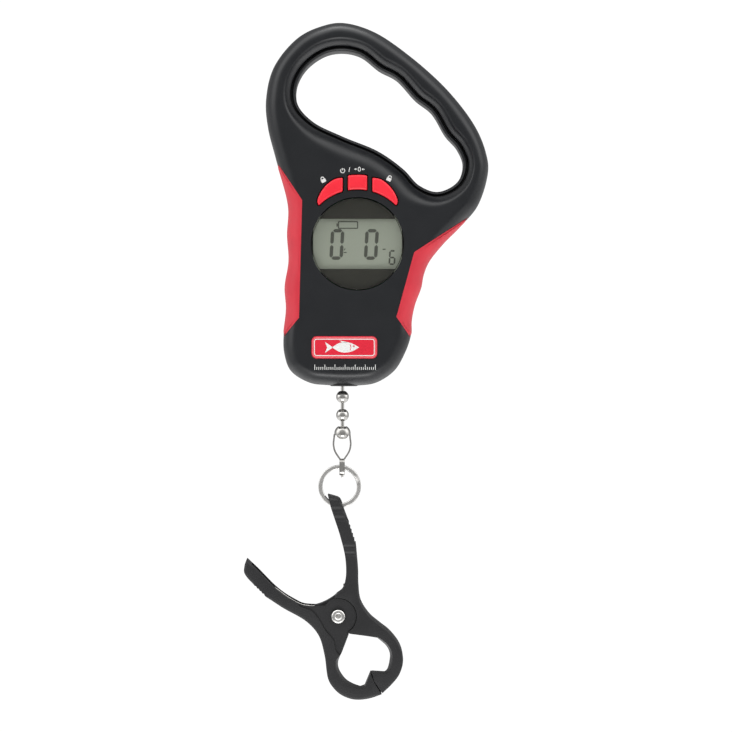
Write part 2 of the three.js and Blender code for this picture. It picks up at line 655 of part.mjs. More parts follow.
function addRightClamp() {
  const { half, core, disc, flange } = CLAMP;
  const depth = half - flange;
  const edge = [...RIGHT_OUTER, ...RIGHT_JAW.map(point), ...RIGHT_INNER.map(point)];
  let body = solid(plate(edge, -half, half));
  for (const [from, to] of [[-FAR, -core], [core, FAR]]) {
    body = cut(body, rodY(PIVOT.x, PIVOT.z, disc + GAP, from, to, 32));
    body = cut(body, plate(RIGHT_RELIEF.map(point), from, to));
  }
  body = body.add(solid(rodY(PIVOT.x, PIVOT.z, disc - 0.5, -core, core, 32)));
  body = body.add(solid(plate(RIGHT_WEB.map(point), -core, core)));
  body = cut(body, plate(RIGHT_CHANNEL.map(point), -depth, depth));
  body = cut(body, rodX(0, RING.z - RING.radius, 2.1, -20, 20));
  body = cut(body, rodY(PIVOT.x, PIVOT.z, CLAMP.hole, -FAR, FAR));
  body = cut(body, rodY(PIVOT.x, PIVOT.z, SPRING.room, SPRING.low - 0.6, FAR, 32));
  for (const [xs, zs] of LEG_SLOTS) {
    body = cut(body, box(xs, [SPRING.low - 0.6, core + 0.1], zs));
  }
  part("clamp_right", geometryOf(body), "clamp");
}

function addLeftClamp() {
  const { half, core, disc, flange } = CLAMP;
  const depth = half - flange;
  const cheek = arc(PIVOT.x, PIVOT.z, disc, 120, -57, 14);
  const edge = [...LEFT_ARM_INNER.map(point), ...cheek, ...LEFT_JAW_INNER.map(point), ...LEFT_OUTER];
  let body = solid(plate(edge, -half, half));
  body = cut(body, rodY(PIVOT.x, PIVOT.z, disc + 0.2, -core - GAP, core + GAP, 32));
  body = cut(body, plate(LEFT_CHANNEL.map(point), -depth, depth));
  body = cut(body, rodY(PIVOT.x, PIVOT.z, CLAMP.hole, -FAR, FAR));
  part("clamp_left", geometryOf(body), "clamp");
}

function addPivot() {
  const { half } = CLAMP;
  const face = half + 0.1;
  const rim = face + 0.5;
  const rivet = turnedY(PIVOT.x, PIVOT.z, [
    [0, -rim], [1.5, -rim], [1.7, -rim - 0.6], [2.6, -rim - 0.6], [3.55, -rim], [3.55, -face],
    [1.8, -face], [1.8, half + 1.2], [2.5, half + 1.2], [2.5, half + 1.6], [1.8, half + 2],
    [0, half + 2],
  ]);
  part("pivot_rivet", rivet, "steel");
  const washer = turnedY(PIVOT.x, PIVOT.z, [
    [1.9, face], [3.6, face], [3.6, half + 1], [1.9, half + 1], [1.9, face],
  ]);
  part("rivet_washer", washer, "steel");
}

// torsion spring round the rivet, with one leg along each arm
const RIGHT_LEG = [[0.7, -265.2], [1.8, -275.1]];
const LEFT_LEG = [[-9, -277.7], [-20.3, -276.1], [-27.5, -272.3], [-34.6, -267.6], [-36.3, -268.6]];

function addTorsionSpring() {
  const { radius, low, high } = SPRING;
  const perTurn = 12;
  const steps = Math.round(SPRING.turns * perTurn);
  const points = RIGHT_LEG.map(([x, z]) => new THREE.Vector3(x, low, z));
  for (let i = 2; i <= steps; i += 1) {
    const angle = -(2 * Math.PI * i) / perTurn;
    points.push(new THREE.Vector3(
      PIVOT.x + radius * Math.cos(angle),
      low + ((high - low) * i) / steps,
      PIVOT.z + radius * Math.sin(angle),
    ));
  }
  points.push(...LEFT_LEG.map(([x, z]) => new THREE.Vector3(x, high, z)));
  part("torsion_spring", wireAlong(points, SPRING.wire, 72), "steel");
}

// ---------------------------------------------------------------- assembly

addFrontHousing();
addRearHousing();
addGrips();
addTrim();
addHousingScrews();
addButtons();
addDisplay();
addBatteries();
addLoadCell();
addBeads();
addPins();
addCoupling();
addRing();
addRightClamp();
addLeftClamp();
addPivot();
addTorsionSpring();

export default scale;
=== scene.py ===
import math

import bmesh
import bpy
import numpy as np
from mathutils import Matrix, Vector
from mathutils.geometry import delaunay_2d_cdt


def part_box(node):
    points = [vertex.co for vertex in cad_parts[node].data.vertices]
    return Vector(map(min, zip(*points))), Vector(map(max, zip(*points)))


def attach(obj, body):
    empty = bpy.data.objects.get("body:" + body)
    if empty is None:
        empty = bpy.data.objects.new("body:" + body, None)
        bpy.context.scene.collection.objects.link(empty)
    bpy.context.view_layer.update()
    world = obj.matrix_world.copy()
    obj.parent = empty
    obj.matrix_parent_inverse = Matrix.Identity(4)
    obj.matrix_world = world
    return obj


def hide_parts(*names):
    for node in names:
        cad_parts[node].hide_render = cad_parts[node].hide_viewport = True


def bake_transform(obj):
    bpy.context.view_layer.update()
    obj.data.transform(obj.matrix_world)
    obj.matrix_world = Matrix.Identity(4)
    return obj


# Digital fish scale: the visible skin of each part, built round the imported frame.
# Lengths are in millimetres until mesh_from() turns them into metres.

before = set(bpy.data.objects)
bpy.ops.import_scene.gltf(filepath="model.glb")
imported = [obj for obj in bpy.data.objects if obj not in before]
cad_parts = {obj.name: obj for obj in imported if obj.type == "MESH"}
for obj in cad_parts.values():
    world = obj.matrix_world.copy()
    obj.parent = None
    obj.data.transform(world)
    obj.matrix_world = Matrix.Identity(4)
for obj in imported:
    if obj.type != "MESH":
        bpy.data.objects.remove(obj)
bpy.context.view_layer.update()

MM = 0.001
FAR = 400


# ------------------------------------------------------------------ sizes

def span(node):
    """Lowest and highest corner of a CAD node, in millimetres."""
    low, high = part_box(node)
    return np.array(low) / MM, np.array(high) / MM


def centre(node):
    low, high = span(node)
    return (low + high) / 2


FACE = span("front_housing")[0][1]
BACK = span("rear_housing")[1][1]
LIP = 2.6                    # the rear shell's edge shows this far inside the front shell's
SKIN = 2.2                   # wall of both shells
OUTER_ROUND = 7.0            # widest edge rounding along the outside
INNER_ROUND = 9.5            # widest edge rounding along the finger opening
SEAM_HEIGHT = 0.5            # outer skin above the parting plane, along the outside
OPENING_EDGE_HEIGHT = 6.5    # the same along the finger opening
PARTING_GAP = 0.12
CLEARANCE = 0.42             # round the window and the buttons
PRINT_FRONT, PRINT_BACK = 0.06, 0.005    # printed marks, in front of the face they lie on

# outer edge of the handle and body, clockwise from the top, as [x, z]
BODY_EDGE = [
    [0, 14.9], [15.5, 10.5], [33.5, -1.5], [53.15, -19.35], [66.7, -37.4], [71.8, -50],
    [72.95, -59.15], [67.6, -76.8], [58.1, -87.8], [50, -96], [43, -105], [40.45, -111.5],
    [39.4, -117.2], [36.2, -126], [34.6, -134], [34.4, -141], [31.4, -150], [26, -159],
    [16.8, -165], [8, -166.4], [-8, -166.2], [-16.5, -165], [-26, -159], [-29.3, -150],
    [-29.6, -141], [-28.25, -128], [-28.9, -117], [-26.95, -104], [-27.7, -91], [-27.2, -77],
    [-33.6, -52.6], [-37.4, -37.5], [-38.4, -24], [-34.5, -7.5], [-22.4, 7.35], [-10.4, 13.25],
]

# edge of the finger opening in the rear shell
OPENING_EDGE = [
    [0, 0.35], [8.9, -1.6], [18.5, -8.8], [27, -13.4], [36.5, -23.6], [44.5, -30],
    [51.5, -41.45], [57.2, -48], [60.25, -56], [57.3, -64.8], [47.5, -69.7], [38.3, -66.5],
    [30.5, -58.5], [18, -49.6], [-0.1, -42], [-14.7, -34.75], [-22.15, -26.45],
    [-22.95, -17.6], [-18.4, -8.4], [-9, -1.35],
]

LEFT_GRIP = [[-32.6, -55.2], [-19.85, -74.4], [-21.4, -132.6], [-29.2, -142]]
RIGHT_GRIP = [[62.9, -82.4], [35.6, -100.2], [26.8, -132.2], [34.2, -142.8]]


# ------------------------------------------------------------------ outlines

def resample(points, count, closed):
    """Evenly spaced points along a polyline."""
    line = np.vstack([points, points[:1]]) if closed else np.asarray(points, float)
    along = np.concatenate([[0], np.cumsum(np.linalg.norm(np.diff(line, axis=0), axis=1))])
    at = np.linspace(0, along[-1], count, endpoint=not closed)
    return np.column_stack([np.interp(at, along, line[:, i]) for i in range(line.shape[1])])


def spline(controls, count, closed=False):
    """Evenly spaced points on a centripetal Catmull-Rom curve through the controls."""
    p = np.asarray(controls, float)
    if closed:
        p = np.vstack([p[-1], p, p[0], p[1]])
    else:
        p = np.vstack([2 * p[0] - p[1], p, 2 * p[-1] - p[-2]])
    dense = []
    for a, b, c, d in zip(p, p[1:], p[2:], p[3:]):
        ta = 0.0
        tb = ta + np.linalg.norm(b - a) ** 0.5
        tc = tb + np.linalg.norm(c - b) ** 0.5
        td = tc + np.linalg.norm(d - c) ** 0.5
        t = np.linspace(tb, tc, 20, endpoint=False)[:, None]
        ab = (tb - t) / (tb - ta) * a + (t - ta) / (tb - ta) * b
        bc = (tc - t) / (tc - tb) * b + (t - tb) / (tc - tb) * c
        cd = (td - t) / (td - tc) * c + (t - tc) / (td - tc) * d
        left = (tc - t) / (tc - ta) * ab + (t - ta) / (tc - ta) * bc
        right = (td - t) / (td - tb) * bc + (t - tb) / (td - tb) * cd
        dense.append((tc - t) / (tc - tb) * left + (t - tb) / (tc - tb) * right)
    dense = np.vstack(dense)
    if not closed:
        dense = np.vstack([dense, p[-2]])
    return resample(dense, count, closed)


def arc(x, z, radius, start, stop, count):
    """Points on an arc; degrees from +X towards +Z."""
    angle = np.radians(np.linspace(start, stop, count))
    return np.column_stack([x + radius * np.cos(angle), z + radius * np.sin(angle)])


def circle(x, z, radius, count):
    return arc(x, z, radius, 0, 360 - 360 / count, count)


def rounded_box(x, z, wide, tall, radius, count=8):
    dx, dz = wide / 2 - radius, tall / 2 - radius
    corners = [(dx, dz, 0), (-dx, dz, 90), (-dx, -dz, 180), (dx, -dz, 270)]
    return np.vstack([arc(x + cx, z + cz, radius, a, a + 90, count) for cx, cz, a in corners])


def area(points):
    x, z = points[:, 0], points[:, 1]
    return 0.5 * np.sum(x * np.roll(z, -1) - z * np.roll(x, -1))


def unit(rows):
    """Each row scaled to a length of 1."""
    return rows / np.linalg.norm(rows, axis=1)[:, None]


def inset(points, distance):
    """A closed outline moved inwards, or outwards where the distance is negative."""
    before = unit(points - np.roll(points, 1, axis=0))
    after = unit(np.roll(points, -1, axis=0) - points)
    along = unit(before + after)
    reach = np.sign(area(points)) * distance / np.maximum(0.6, np.sum(along * before, axis=1))
    return untangle(points + np.column_stack([-along[:, 1] * reach, along[:, 0] * reach]))


def untangle(points, longest=90):
    """Pulls each small loop, where a closed outline crosses itself, into the point where it crosses."""
    points = points.copy()
    count = len(points)
    for gap in range(min(longest, count // 3), 1, -1):
        start, step = points, np.roll(points, -1, axis=0) - points
        far = np.roll(points, -gap, axis=0)
        far_step = np.roll(points, -gap - 1, axis=0) - far
        between = far - start
        turn = step[:, 0] * far_step[:, 1] - step[:, 1] * far_step[:, 0]
        turn[np.abs(turn) < 1e-12] = np.inf
        near_share = (between[:, 0] * far_step[:, 1] - between[:, 1] * far_step[:, 0]) / turn
        far_share = (between[:, 0] * step[:, 1] - between[:, 1] * step[:, 0]) / turn
        crossed = (near_share > 0) & (near_share < 1) & (far_share > 0) & (far_share < 1)
        meeting = start + step * near_share[:, None]
        for i in np.nonzero(crossed)[0]:
            points[(i + 1 + np.arange(gap)) % count] = meeting[i]
    return points


def ribbon(route, width):
    """Outline of a flat strip along a route."""
    route = np.asarray(route, float)
    along = unit(np.gradient(route, axis=0))
    side = np.column_stack([-along[:, 1], along[:, 0]]) * width / 2
    return np.vstack([route + side, (route - side)[::-1]])


def nearest(points, edge):
    """Distance from each point to a closed outline, and where along it, as a sample number."""
    start, step = edge, np.roll(edge, -1, axis=0) - edge
    length = np.sum(step ** 2, axis=1)
    found = []
    for chunk in np.array_split(points, max(1, len(points) // 2000)):
        offset = chunk[:, None, :] - start[None]
        t = np.clip(np.sum(offset * step, axis=2) / length, 0, 1)
        gap = np.linalg.norm(offset - t[:, :, None] * step, axis=2)
        best = np.argmin(gap, axis=1)
        rows = np.arange(len(chunk))
        found.append(np.column_stack([gap[rows, best], best + t[rows, best]]))
    found = np.vstack(found)
    return found[:, 0], found[:, 1]


def inside(points, edge):
    """True for points inside a closed outline."""
    x, z = points[:, 0][:, None], points[:, 1][:, None]
    x0, z0 = edge[:, 0], edge[:, 1]
    x1, z1 = np.roll(x0, -1), np.roll(z0, -1)
    crosses = (z0 > z) != (z1 > z)
    with np.errstate(divide="ignore", invalid="ignore"):
        hit = x < (x1 - x0) * (z - z0) / (z1 - z0) + x0
    return np.sum(crosses & hit, axis=1) % 2 == 1


def fill(loops, extra=None):
    """Triangles between an outer loop and its holes, numbered through the loops, then extra points."""
    points = np.vstack([*loops, extra]) if extra is not None and len(extra) else np.vstack(loops)
    edges, first = [], 0
    for loop in loops:
        edges += [(first + i, first + (i + 1) % len(loop)) for i in range(len(loop))]
        first += len(loop)
    flat = [Vector((float(x), float(z))) for x, z in points]
    out = delaunay_2d_cdt(flat, edges, [], 0, 1e-5, True)
    source = [ids[0] if ids else -1 for ids in out[3]]
    faces = np.array([[source[i] for i in face] for face in out[2]])
    faces = faces[np.all(faces >= 0, axis=1)]
    middle = points[faces].mean(axis=1)
    keep = inside(middle, loops[0])
    for hole in loops[1:]:
        keep &= ~inside(middle, hole)
    return faces[keep].tolist()


# ------------------------------------------------------------------ mesh building

class Builder:
    """Collects rings and faces, in millimetres."""

    def __init__(self):
        self.points = []
        self.faces = []

    def add(self, points):
        first = len(self.points)
        self.points.extend(np.asarray(points, float).tolist())
        return np.arange(first, len(self.points))

    def ring(self, outline, y):
        """A loop of [x, z] points at one depth, or at a depth for each point."""
        depth = np.broadcast_to(y, len(outline))
        return self.add(np.column_stack([outline[:, 0], depth, outline[:, 1]]))

    def sleeve(self, rings, closed=True):
        """Four-sided faces between each ring and the next."""
        for a, b in zip(rings, rings[1:]):
            for i in range(len(a) if closed else len(a) - 1):
                j = (i + 1) % len(a)
                self.faces.append([int(a[i]), int(a[j]), int(b[j]), int(b[i])])

    def cap(self, rings, extra=None, extra_ids=None):
        """Fills between rings that lie in one face; their own points are used."""
        every = np.array(self.points)
        loops = [every[r][:, [0, 2]] for r in rings]
        ids = np.concatenate([*rings, extra_ids]) if extra_ids is not None else np.concatenate(rings)
        for face in fill(loops, extra):
            self.faces.append([int(ids[i]) for i in face])

    def fan(self, ring):
        """Closes a ring with triangles round its middle."""
        every = np.array(self.points)
        hub = self.add([every[ring].mean(axis=0)])[0]
        for i in range(len(ring)):
            self.faces.append([int(ring[i]), int(ring[(i + 1) % len(ring)]), int(hub)])

    def block(self, outline, near, far):
        """A straight-sided solid between two depths."""
        rings = [self.ring(outline, near), self.ring(outline, far)]
        self.sleeve(rings)
        self.cap([rings[0]])
        self.cap([rings[1]])

    def steps(self, outline, profile):
        """One ring for each (inset, depth) pair of a profile."""
        return [self.ring(inset(outline, d) if np.any(d) else outline, y) for d, y in profile]


def prism(outline, near, far):
    build = Builder()
    build.block(outline, near, far)
    return build


def mesh_from(name, build):
    """A Builder's faces as a mesh, with its doubled points joined and its faces turned outwards."""
    mesh = bpy.data.meshes.new(name)
    mesh.from_pydata((np.array(build.points) * MM).tolist(), [], build.faces)
    bm = bmesh.new()
    bm.from_mesh(mesh)
    bmesh.ops.remove_doubles(bm, verts=bm.verts, dist=1e-6)
    bmesh.ops.recalc_face_normals(bm, faces=bm.faces)
    bm.to_mesh(mesh)
    bm.free()
    return mesh


def place_object(name, data):
    thing = bpy.data.objects.new(name, data)
    bpy.context.collection.objects.link(thing)
    return thing


def mesh_piece(name, build, material, sharp):
    """Turns a Builder into an object."""
    mesh = mesh_from(name, build)
    mesh.shade_smooth()
    mesh.set_sharp_from_angle(angle=math.radians(sharp))
    mesh.materials.append(material)
    return place_object(name, mesh)


def make(name, build, body, material, nodes=(), sharp=32):
    """Turns a Builder into an object that rides on a body."""
    piece = mesh_piece(name, build, material, sharp)
    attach(piece, body)
    if nodes:
        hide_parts(*nodes)
    return piece


def slab(build, outline, near, far, near_round, far_round, holes=(), steps=4):
    """A plate between two depths with rounded edges, also round its holes."""
    turn = np.linspace(0, math.pi / 2, steps + 1)
    front = [(near_round * (1 - math.sin(a)), near + near_round * (1 - math.cos(a))) for a in turn]
    back = [(far_round * (1 - math.sin(a)), far - far_round * (1 - math.cos(a))) for a in turn[::-1]]
    profile = front + back
    near_rings, far_rings = [], []
    for loop, way in [(outline, 1), *[(hole, -1) for hole in holes]]:
        rings = build.steps(loop, [(way * d, y) for d, y in profile])
        build.sleeve(rings)
        near_rings.append(rings[0])
        far_rings.append(rings[-1])
    build.cap(near_rings)
    build.cap(far_rings)


def lathe(build, profile, x, z, sides=48, along="z", y=0.0):
    """A turned solid from [radius, height] pairs; a radius of 0 ends on the axis."""
    angle = np.linspace(0, 2 * math.pi, sides, endpoint=False)
    rings = []
    for radius, height in profile:
        across, up = radius * np.cos(angle), radius * np.sin(angle)
        if along == "z":
            ring = np.column_stack([x + across, y + up, np.full(sides, z + height)])
        else:
            ring = np.column_stack([x + across, np.full(sides, y + height), z + up])
        rings.append(build.add(ring))
    build.sleeve(rings)
    if np.allclose(profile[0], profile[-1]):
        return
    for end in (rings[0], rings[-1]):
        build.fan(end)


def sweep(build, path, section, normal=None):
    """A section of [across, up] pairs swept along a path; up keeps to the normal, or turns freely."""
    path = np.asarray(path, float)
    up = np.array(normal or (0, 1, 0), float)
    rings = []
    for point, along in zip(path, unit(np.gradient(path, axis=0))):
        side = np.cross(along, up)
        side /= np.linalg.norm(side)
        lift = np.cross(side, along)
        if normal is None:
            up = lift
        rings.append(build.add([point + a * side + b * lift for a, b in section]))
    build.sleeve(rings)
    build.fan(rings[0])
    build.fan(rings[-1])


def apply_boolean(piece, build, operation):
    tool = place_object("tool", mesh_from("tool", build))
    modifier = piece.modifiers.new("cut", "BOOLEAN")
    modifier.object = tool
    modifier.operation = operation
    modifier.solver = "EXACT"
    graph = bpy.context.evaluated_depsgraph_get()
    result = bpy.data.meshes.new_from_object(piece.evaluated_get(graph))
    piece.modifiers.clear()
    spent = [piece.data, tool.data]
    piece.data = result
    bpy.data.objects.remove(tool)
    for mesh in spent:
        bpy.data.meshes.remove(mesh)


def cut(piece, build):
    """Cuts a closed solid out of a piece."""
    apply_boolean(piece, build, "DIFFERENCE")


def join(piece, build):
    """Joins a closed solid onto a piece."""
    apply_boolean(piece, build, "UNION")


def smooth_by_angle(piece, sharp=32):
    """Repairs what booleans leave behind, then smooths all but the sharp edges."""
    piece.data.validate()
    piece.data.shade_smooth()
    piece.data.set_sharp_from_angle(angle=math.radians(sharp))


# ------------------------------------------------------------------ materials

class Nodes:
    """A material's node tree, with short ways to add and link nodes."""

    def __init__(self, name, base, roughness, metallic=0.0, **sockets):
        self.material = bpy.data.materials.new(name)
        self.material.use_nodes = True
        self.tree = self.material.node_tree
        self.shader = self.tree.nodes["Principled BSDF"]
        self.shader.inputs["Base Color"].default_value = (*base, 1)
        self.shader.inputs["Roughness"].default_value = roughness
        self.shader.inputs["Metallic"].default_value = metallic
        for socket, value in sockets.items():
            self.shader.inputs[socket.replace("_", " ")].default_value = value
        self.material.diffuse_color = (*base, 1)
        coordinates = self.add("ShaderNodeTexCoord")
        self.place = coordinates.outputs["Object"]

    def add(self, kind, **values):
        node = self.tree.nodes.new(kind)
        for key, value in values.items():
            setattr(node, key, value)
        return node

    def link(self, a, b):
        self.tree.links.new(a, b)

    def noise(self, scale, detail=2.0, rough=0.5, stretch=None):
        node = self.add("ShaderNodeTexNoise")
        node.inputs["Scale"].default_value = scale
        node.inputs["Detail"].default_value = detail
        node.inputs["Roughness"].default_value = rough
        if stretch:
            mapping = self.add("ShaderNodeMapping")
            mapping.inputs["Scale"].default_value = stretch
            self.link(self.place, mapping.inputs["Vector"])
            self.link(mapping.outputs["Vector"], node.inputs["Vector"])
        else:
            self.link(self.place, node.inputs["Vector"])
        return node.outputs["Fac"]

    def ramp(self, value, low, high, out_low, out_high):
        node = self.add("ShaderNodeMapRange")
        node.inputs["From Min"].default_value = low
        node.inputs["From Max"].default_value = high
        node.inputs["To Min"].default_value = out_low
        node.inputs["To Max"].default_value = out_high
        self.link(value, node.inputs["Value"])
        return node.outputs["Result"]

    def tint(self, value, dark, light):
        """Base colour that drifts between two close colours."""
        node = self.add("ShaderNodeMix", data_type="RGBA")
        self.link(value, node.inputs["Factor"])
        node.inputs["A"].default_value = (*dark, 1)
        node.inputs["B"].default_value = (*light, 1)
        self.link(node.outputs["Result"], self.shader.inputs["Base Color"])

    def roughen(self, value, low, high):
        self.link(self.ramp(value, 0.3, 0.7, low, high), self.shader.inputs["Roughness"])

    def bump(self, *layers):
        """Each layer is (height, strength, distance)."""
        normal = None
        for height, strength, distance in layers:
            node = self.add("ShaderNodeBump")
            node.inputs["Strength"].default_value = strength
            node.inputs["Distance"].default_value = distance
            self.link(height, node.inputs["Height"])
            if normal:
                self.link(normal, node.inputs["Normal"])
            normal = node.outputs["Normal"]
        self.link(normal, self.shader.inputs["Normal"])


def moulded_plastic(name, dark, light, rough, grain=2600, grain_depth=0.00002):
    """Satin moulded plastic: fine spark-eroded grain, and slow drift in gloss and tone."""
    look = Nodes(name, light, rough, Specular_IOR_Level=0.4)
    drift = look.noise(35, 3)
    look.tint(look.ramp(drift, 0.3, 0.7, 0, 1), dark, light)
    look.roughen(look.noise(90, 4), rough - 0.05, rough + 0.06)
    look.bump((look.noise(grain, 2, 0.6), 0.14, grain_depth), (look.noise(55, 1), 0.1, 0.0001))
    return look.material


def soft_rubber(name, dark, light):
    """Soft overmoulded rubber: fine matt grain with a little sheen."""
    look = Nodes(name, light, 0.52, Specular_IOR_Level=0.3, Sheen_Weight=0.05, Sheen_Roughness=0.5)
    look.tint(look.ramp(look.noise(60, 3), 0.3, 0.7, 0, 1), dark, light)
    look.roughen(look.noise(240, 3), 0.46, 0.58)
    look.bump((look.noise(1900, 2, 0.7), 0.3, 0.00003))
    return look.material


def bright_metal(name, base, rough, scratch=0.00001, stretch=(1, 1, 1)):
    """Plated or polished metal: faint scratches, and dull patches from handling."""
    look = Nodes(name, base, rough, 1.0)
    look.tint(look.ramp(look.noise(400, 3), 0.35, 0.7, 0, 1), tuple(0.86 * c for c in base), base)
    look.roughen(look.noise(700, 4), rough * 0.7, rough * 1.5)
    look.bump((look.noise(2500, 3, 0.6, stretch), 0.25, scratch))
    return look.material


def printed(name, colour, rough=0.5):
    """Screen-printed ink: slightly uneven cover."""
    look = Nodes(name, colour, rough, Specular_IOR_Level=0.3)
    look.tint(look.ramp(look.noise(3000, 2), 0.35, 0.65, 0, 1), tuple(0.82 * c for c in colour), colour)
    look.bump((look.noise(4000, 1), 0.2, 0.00001))
    return look.material


def clear_window(name):
    """Nearly clear, slightly smoked plastic."""
    look = Nodes(name, (0.02, 0.02, 0.018), 0.04, Specular_IOR_Level=0.5, Alpha=0.10)
    look.roughen(look.noise(500, 3), 0.03, 0.07)
    look.bump((look.noise(120, 1), 0.05, 0.00002))
    return look.material


def display_glass(name):
    """Reflective grey-green display with a faint fine texture."""
    look = Nodes(name, (0.33, 0.36, 0.27), 0.35, Specular_IOR_Level=0.3)
    look.tint(look.ramp(look.noise(30, 1), 0.3, 0.7, 0, 1), (0.36, 0.395, 0.32), (0.40, 0.435, 0.355))
    look.roughen(look.noise(1500, 2), 0.3, 0.42)
    look.bump((look.noise(5000, 1), 0.1, 0.00001))
    return look.material


def fibre_board(name):
    """Green solder mask over glass weave."""
    look = Nodes(name, (0.015, 0.14, 0.045), 0.45)
    weave = look.ramp(look.noise(900, 2, 0.5, (1, 1, 0.1)), 0.4, 0.6, 0, 1)
    look.tint(weave, (0.012, 0.11, 0.035), (0.02, 0.17, 0.055))
    look.roughen(look.noise(600, 2), 0.38, 0.5)
    look.bump((look.noise(1500, 2), 0.2, 0.00002))
    return look.material


SHELL = moulded_plastic("shell_plastic", (0.0075, 0.0085, 0.0105), (0.0095, 0.0105, 0.0125), 0.34)
CLAMP = moulded_plastic("clamp_plastic", (0.010, 0.010, 0.011), (0.014, 0.014, 0.015), 0.5, 1500)
# dark trim plastic; also laid on the walls inside the clamp's jaw as painted shade
TRIM_AND_JAW_SHADE = moulded_plastic("trim_plastic_and_jaw_shade", (0.005, 0.005, 0.006), (0.009, 0.009, 0.01), 0.4)
GRIP = soft_rubber("grip_rubber", (0.54, 0.026, 0.044), (0.62, 0.034, 0.052))
BUTTON = moulded_plastic("button_plastic", (0.84, 0.018, 0.036), (0.92, 0.026, 0.048), 0.36)
BADGE_RED = printed("badge_red", (0.72, 0.02, 0.045), 0.32)
INK = printed("white_ink", (0.82, 0.82, 0.80), 0.5)
PALE_RED = printed("badge_edge", (0.85, 0.16, 0.18), 0.35)
MASK = printed("window_print", (0.038, 0.038, 0.030), 0.42)
LCD_INK = printed("display_ink", (0.105, 0.112, 0.092), 0.45)
LENS = clear_window("window_clear")
LCD = display_glass("display_glass")
RING_STEEL = bright_metal("ring_steel", (0.74, 0.73, 0.71), 0.22)
NICKEL = bright_metal("bright_nickel", (0.56, 0.55, 0.53), 0.13)
DULL_NICKEL = bright_metal("wire_nickel", (0.50, 0.49, 0.47), 0.2)
ALLOY = bright_metal("machined_alloy", (0.55, 0.56, 0.58), 0.32, 0.00002, (1, 12, 1))
BRASS = bright_metal("spring_strip", (0.62, 0.43, 0.16), 0.3)
CELL = bright_metal("cell_sleeve", (0.08, 0.16, 0.36), 0.35)
BOARD = fibre_board("circuit_board_green")


# ------------------------------------------------------------------ housing skin

OUTER_COUNT, OPENING_COUNT = 460, 320
INSIDE_CAD = 0.15
outer_edge = inset(spline(BODY_EDGE, OUTER_COUNT, closed=True), INSIDE_CAD)
rear_opening = spline(OPENING_EDGE, OPENING_COUNT, closed=True)
front_opening = resample(inset(rear_opening, -LIP), OPENING_COUNT, closed=True)


def blur(values, reach):
    """Running average round a closed outline."""
    weights = np.hanning(2 * reach + 1)
    wrapped = np.concatenate([values[-reach:], values, values[:reach]])
    return np.convolve(wrapped, weights / weights.sum(), mode="valid")


def along_edge(values, where):
    """Reads a value that is kept for each sample of a closed outline."""
    return np.interp(where, np.arange(len(values) + 1), np.append(values, values[0]))


def quarter_round(t):
    return np.sqrt(np.maximum(0, 1 - (1 - np.minimum(t, 1)) ** 2))


class Skin:
    """One shell's outer surface, as a height above the parting plane."""

    def __init__(self, side, opening):
        self.side = side
        self.opening = opening
        self.full = abs(FACE if side < 0 else BACK)
        bar_outer, _ = nearest(outer_edge, opening)
        bar_inner, _ = nearest(opening, outer_edge)
        self.outer_round = blur(np.minimum(OUTER_ROUND, 0.58 * bar_outer), 14)
        self.inner_round = blur(np.minimum(INNER_ROUND, 0.32 * bar_inner), 12)

    def shape(self, points):
        """0 at an edge to 1 on the flat, for both edges together and for the opening alone."""
        out, where_out = nearest(points, outer_edge)
        inn, where_in = nearest(points, self.opening)
        near_opening = quarter_round(inn / along_edge(self.inner_round, where_in))
        return quarter_round(out / along_edge(self.outer_round, where_out)) * near_opening, near_opening

    def height(self, points):
        rise, near_opening = self.shape(points)
        seam = SEAM_HEIGHT + (OPENING_EDGE_HEIGHT - SEAM_HEIGHT) * (1 - near_opening)
        return seam + (self.full - seam) * rise

    def y(self, points):
        return self.side * self.height(points)


front_skin = Skin(-1, front_opening)
rear_skin = Skin(1, rear_opening)


# rear shell's edge at the finger opening, as (distance into the opening, height above the parting plane)
REAR_LIP = [(1.7, PARTING_GAP), (1.7, -4.4), (1.55, -4.9), (1.25, -5.1), (0.8, -5.0), (0.4, -4.6),
            (0.1, -3.9), (0, -3.2), (0, OPENING_EDGE_HEIGHT - 0.5)]
FRONT_RIM = [(0, PARTING_GAP), (0, OPENING_EDGE_HEIGHT - 0.5)]
OUTER_RIM = [(0.5, PARTING_GAP), (0.12, 0.2)]
HOLE_LEAD = [(0.3, 0), (0.1, 0.06), (0, 0.25)]
ROUND_STEPS = 12
GRID_PITCH = 1.6


def edge_rings(build, skin, edge, rounds, way, rim, inner_start):
    """Outer and inner skin from an edge to where its rounding ends; returns both last rings."""
    side = skin.side
    share = 1 - np.cos(np.linspace(0, math.pi / 2, ROUND_STEPS))
    rings = [build.ring(inset(edge, way * d), side * y) for d, y in rim]
    outer = []
    for s in share:
        loop = inset(edge, way * s * rounds) if s else edge
        outer.append(build.ring(loop, skin.y(loop)))
    build.sleeve(rings + outer)
    inner = []
    for s in share[inner_start:]:
        loop = inset(edge, way * s * rounds)
        inner.append(build.ring(loop, skin.y(loop) - side * SKIN))
    foot = build.ring(inset(edge, way * share[inner_start] * rounds), side * PARTING_GAP)
    build.sleeve([rings[0], foot, *inner])
    return outer[-1], inner[-1]


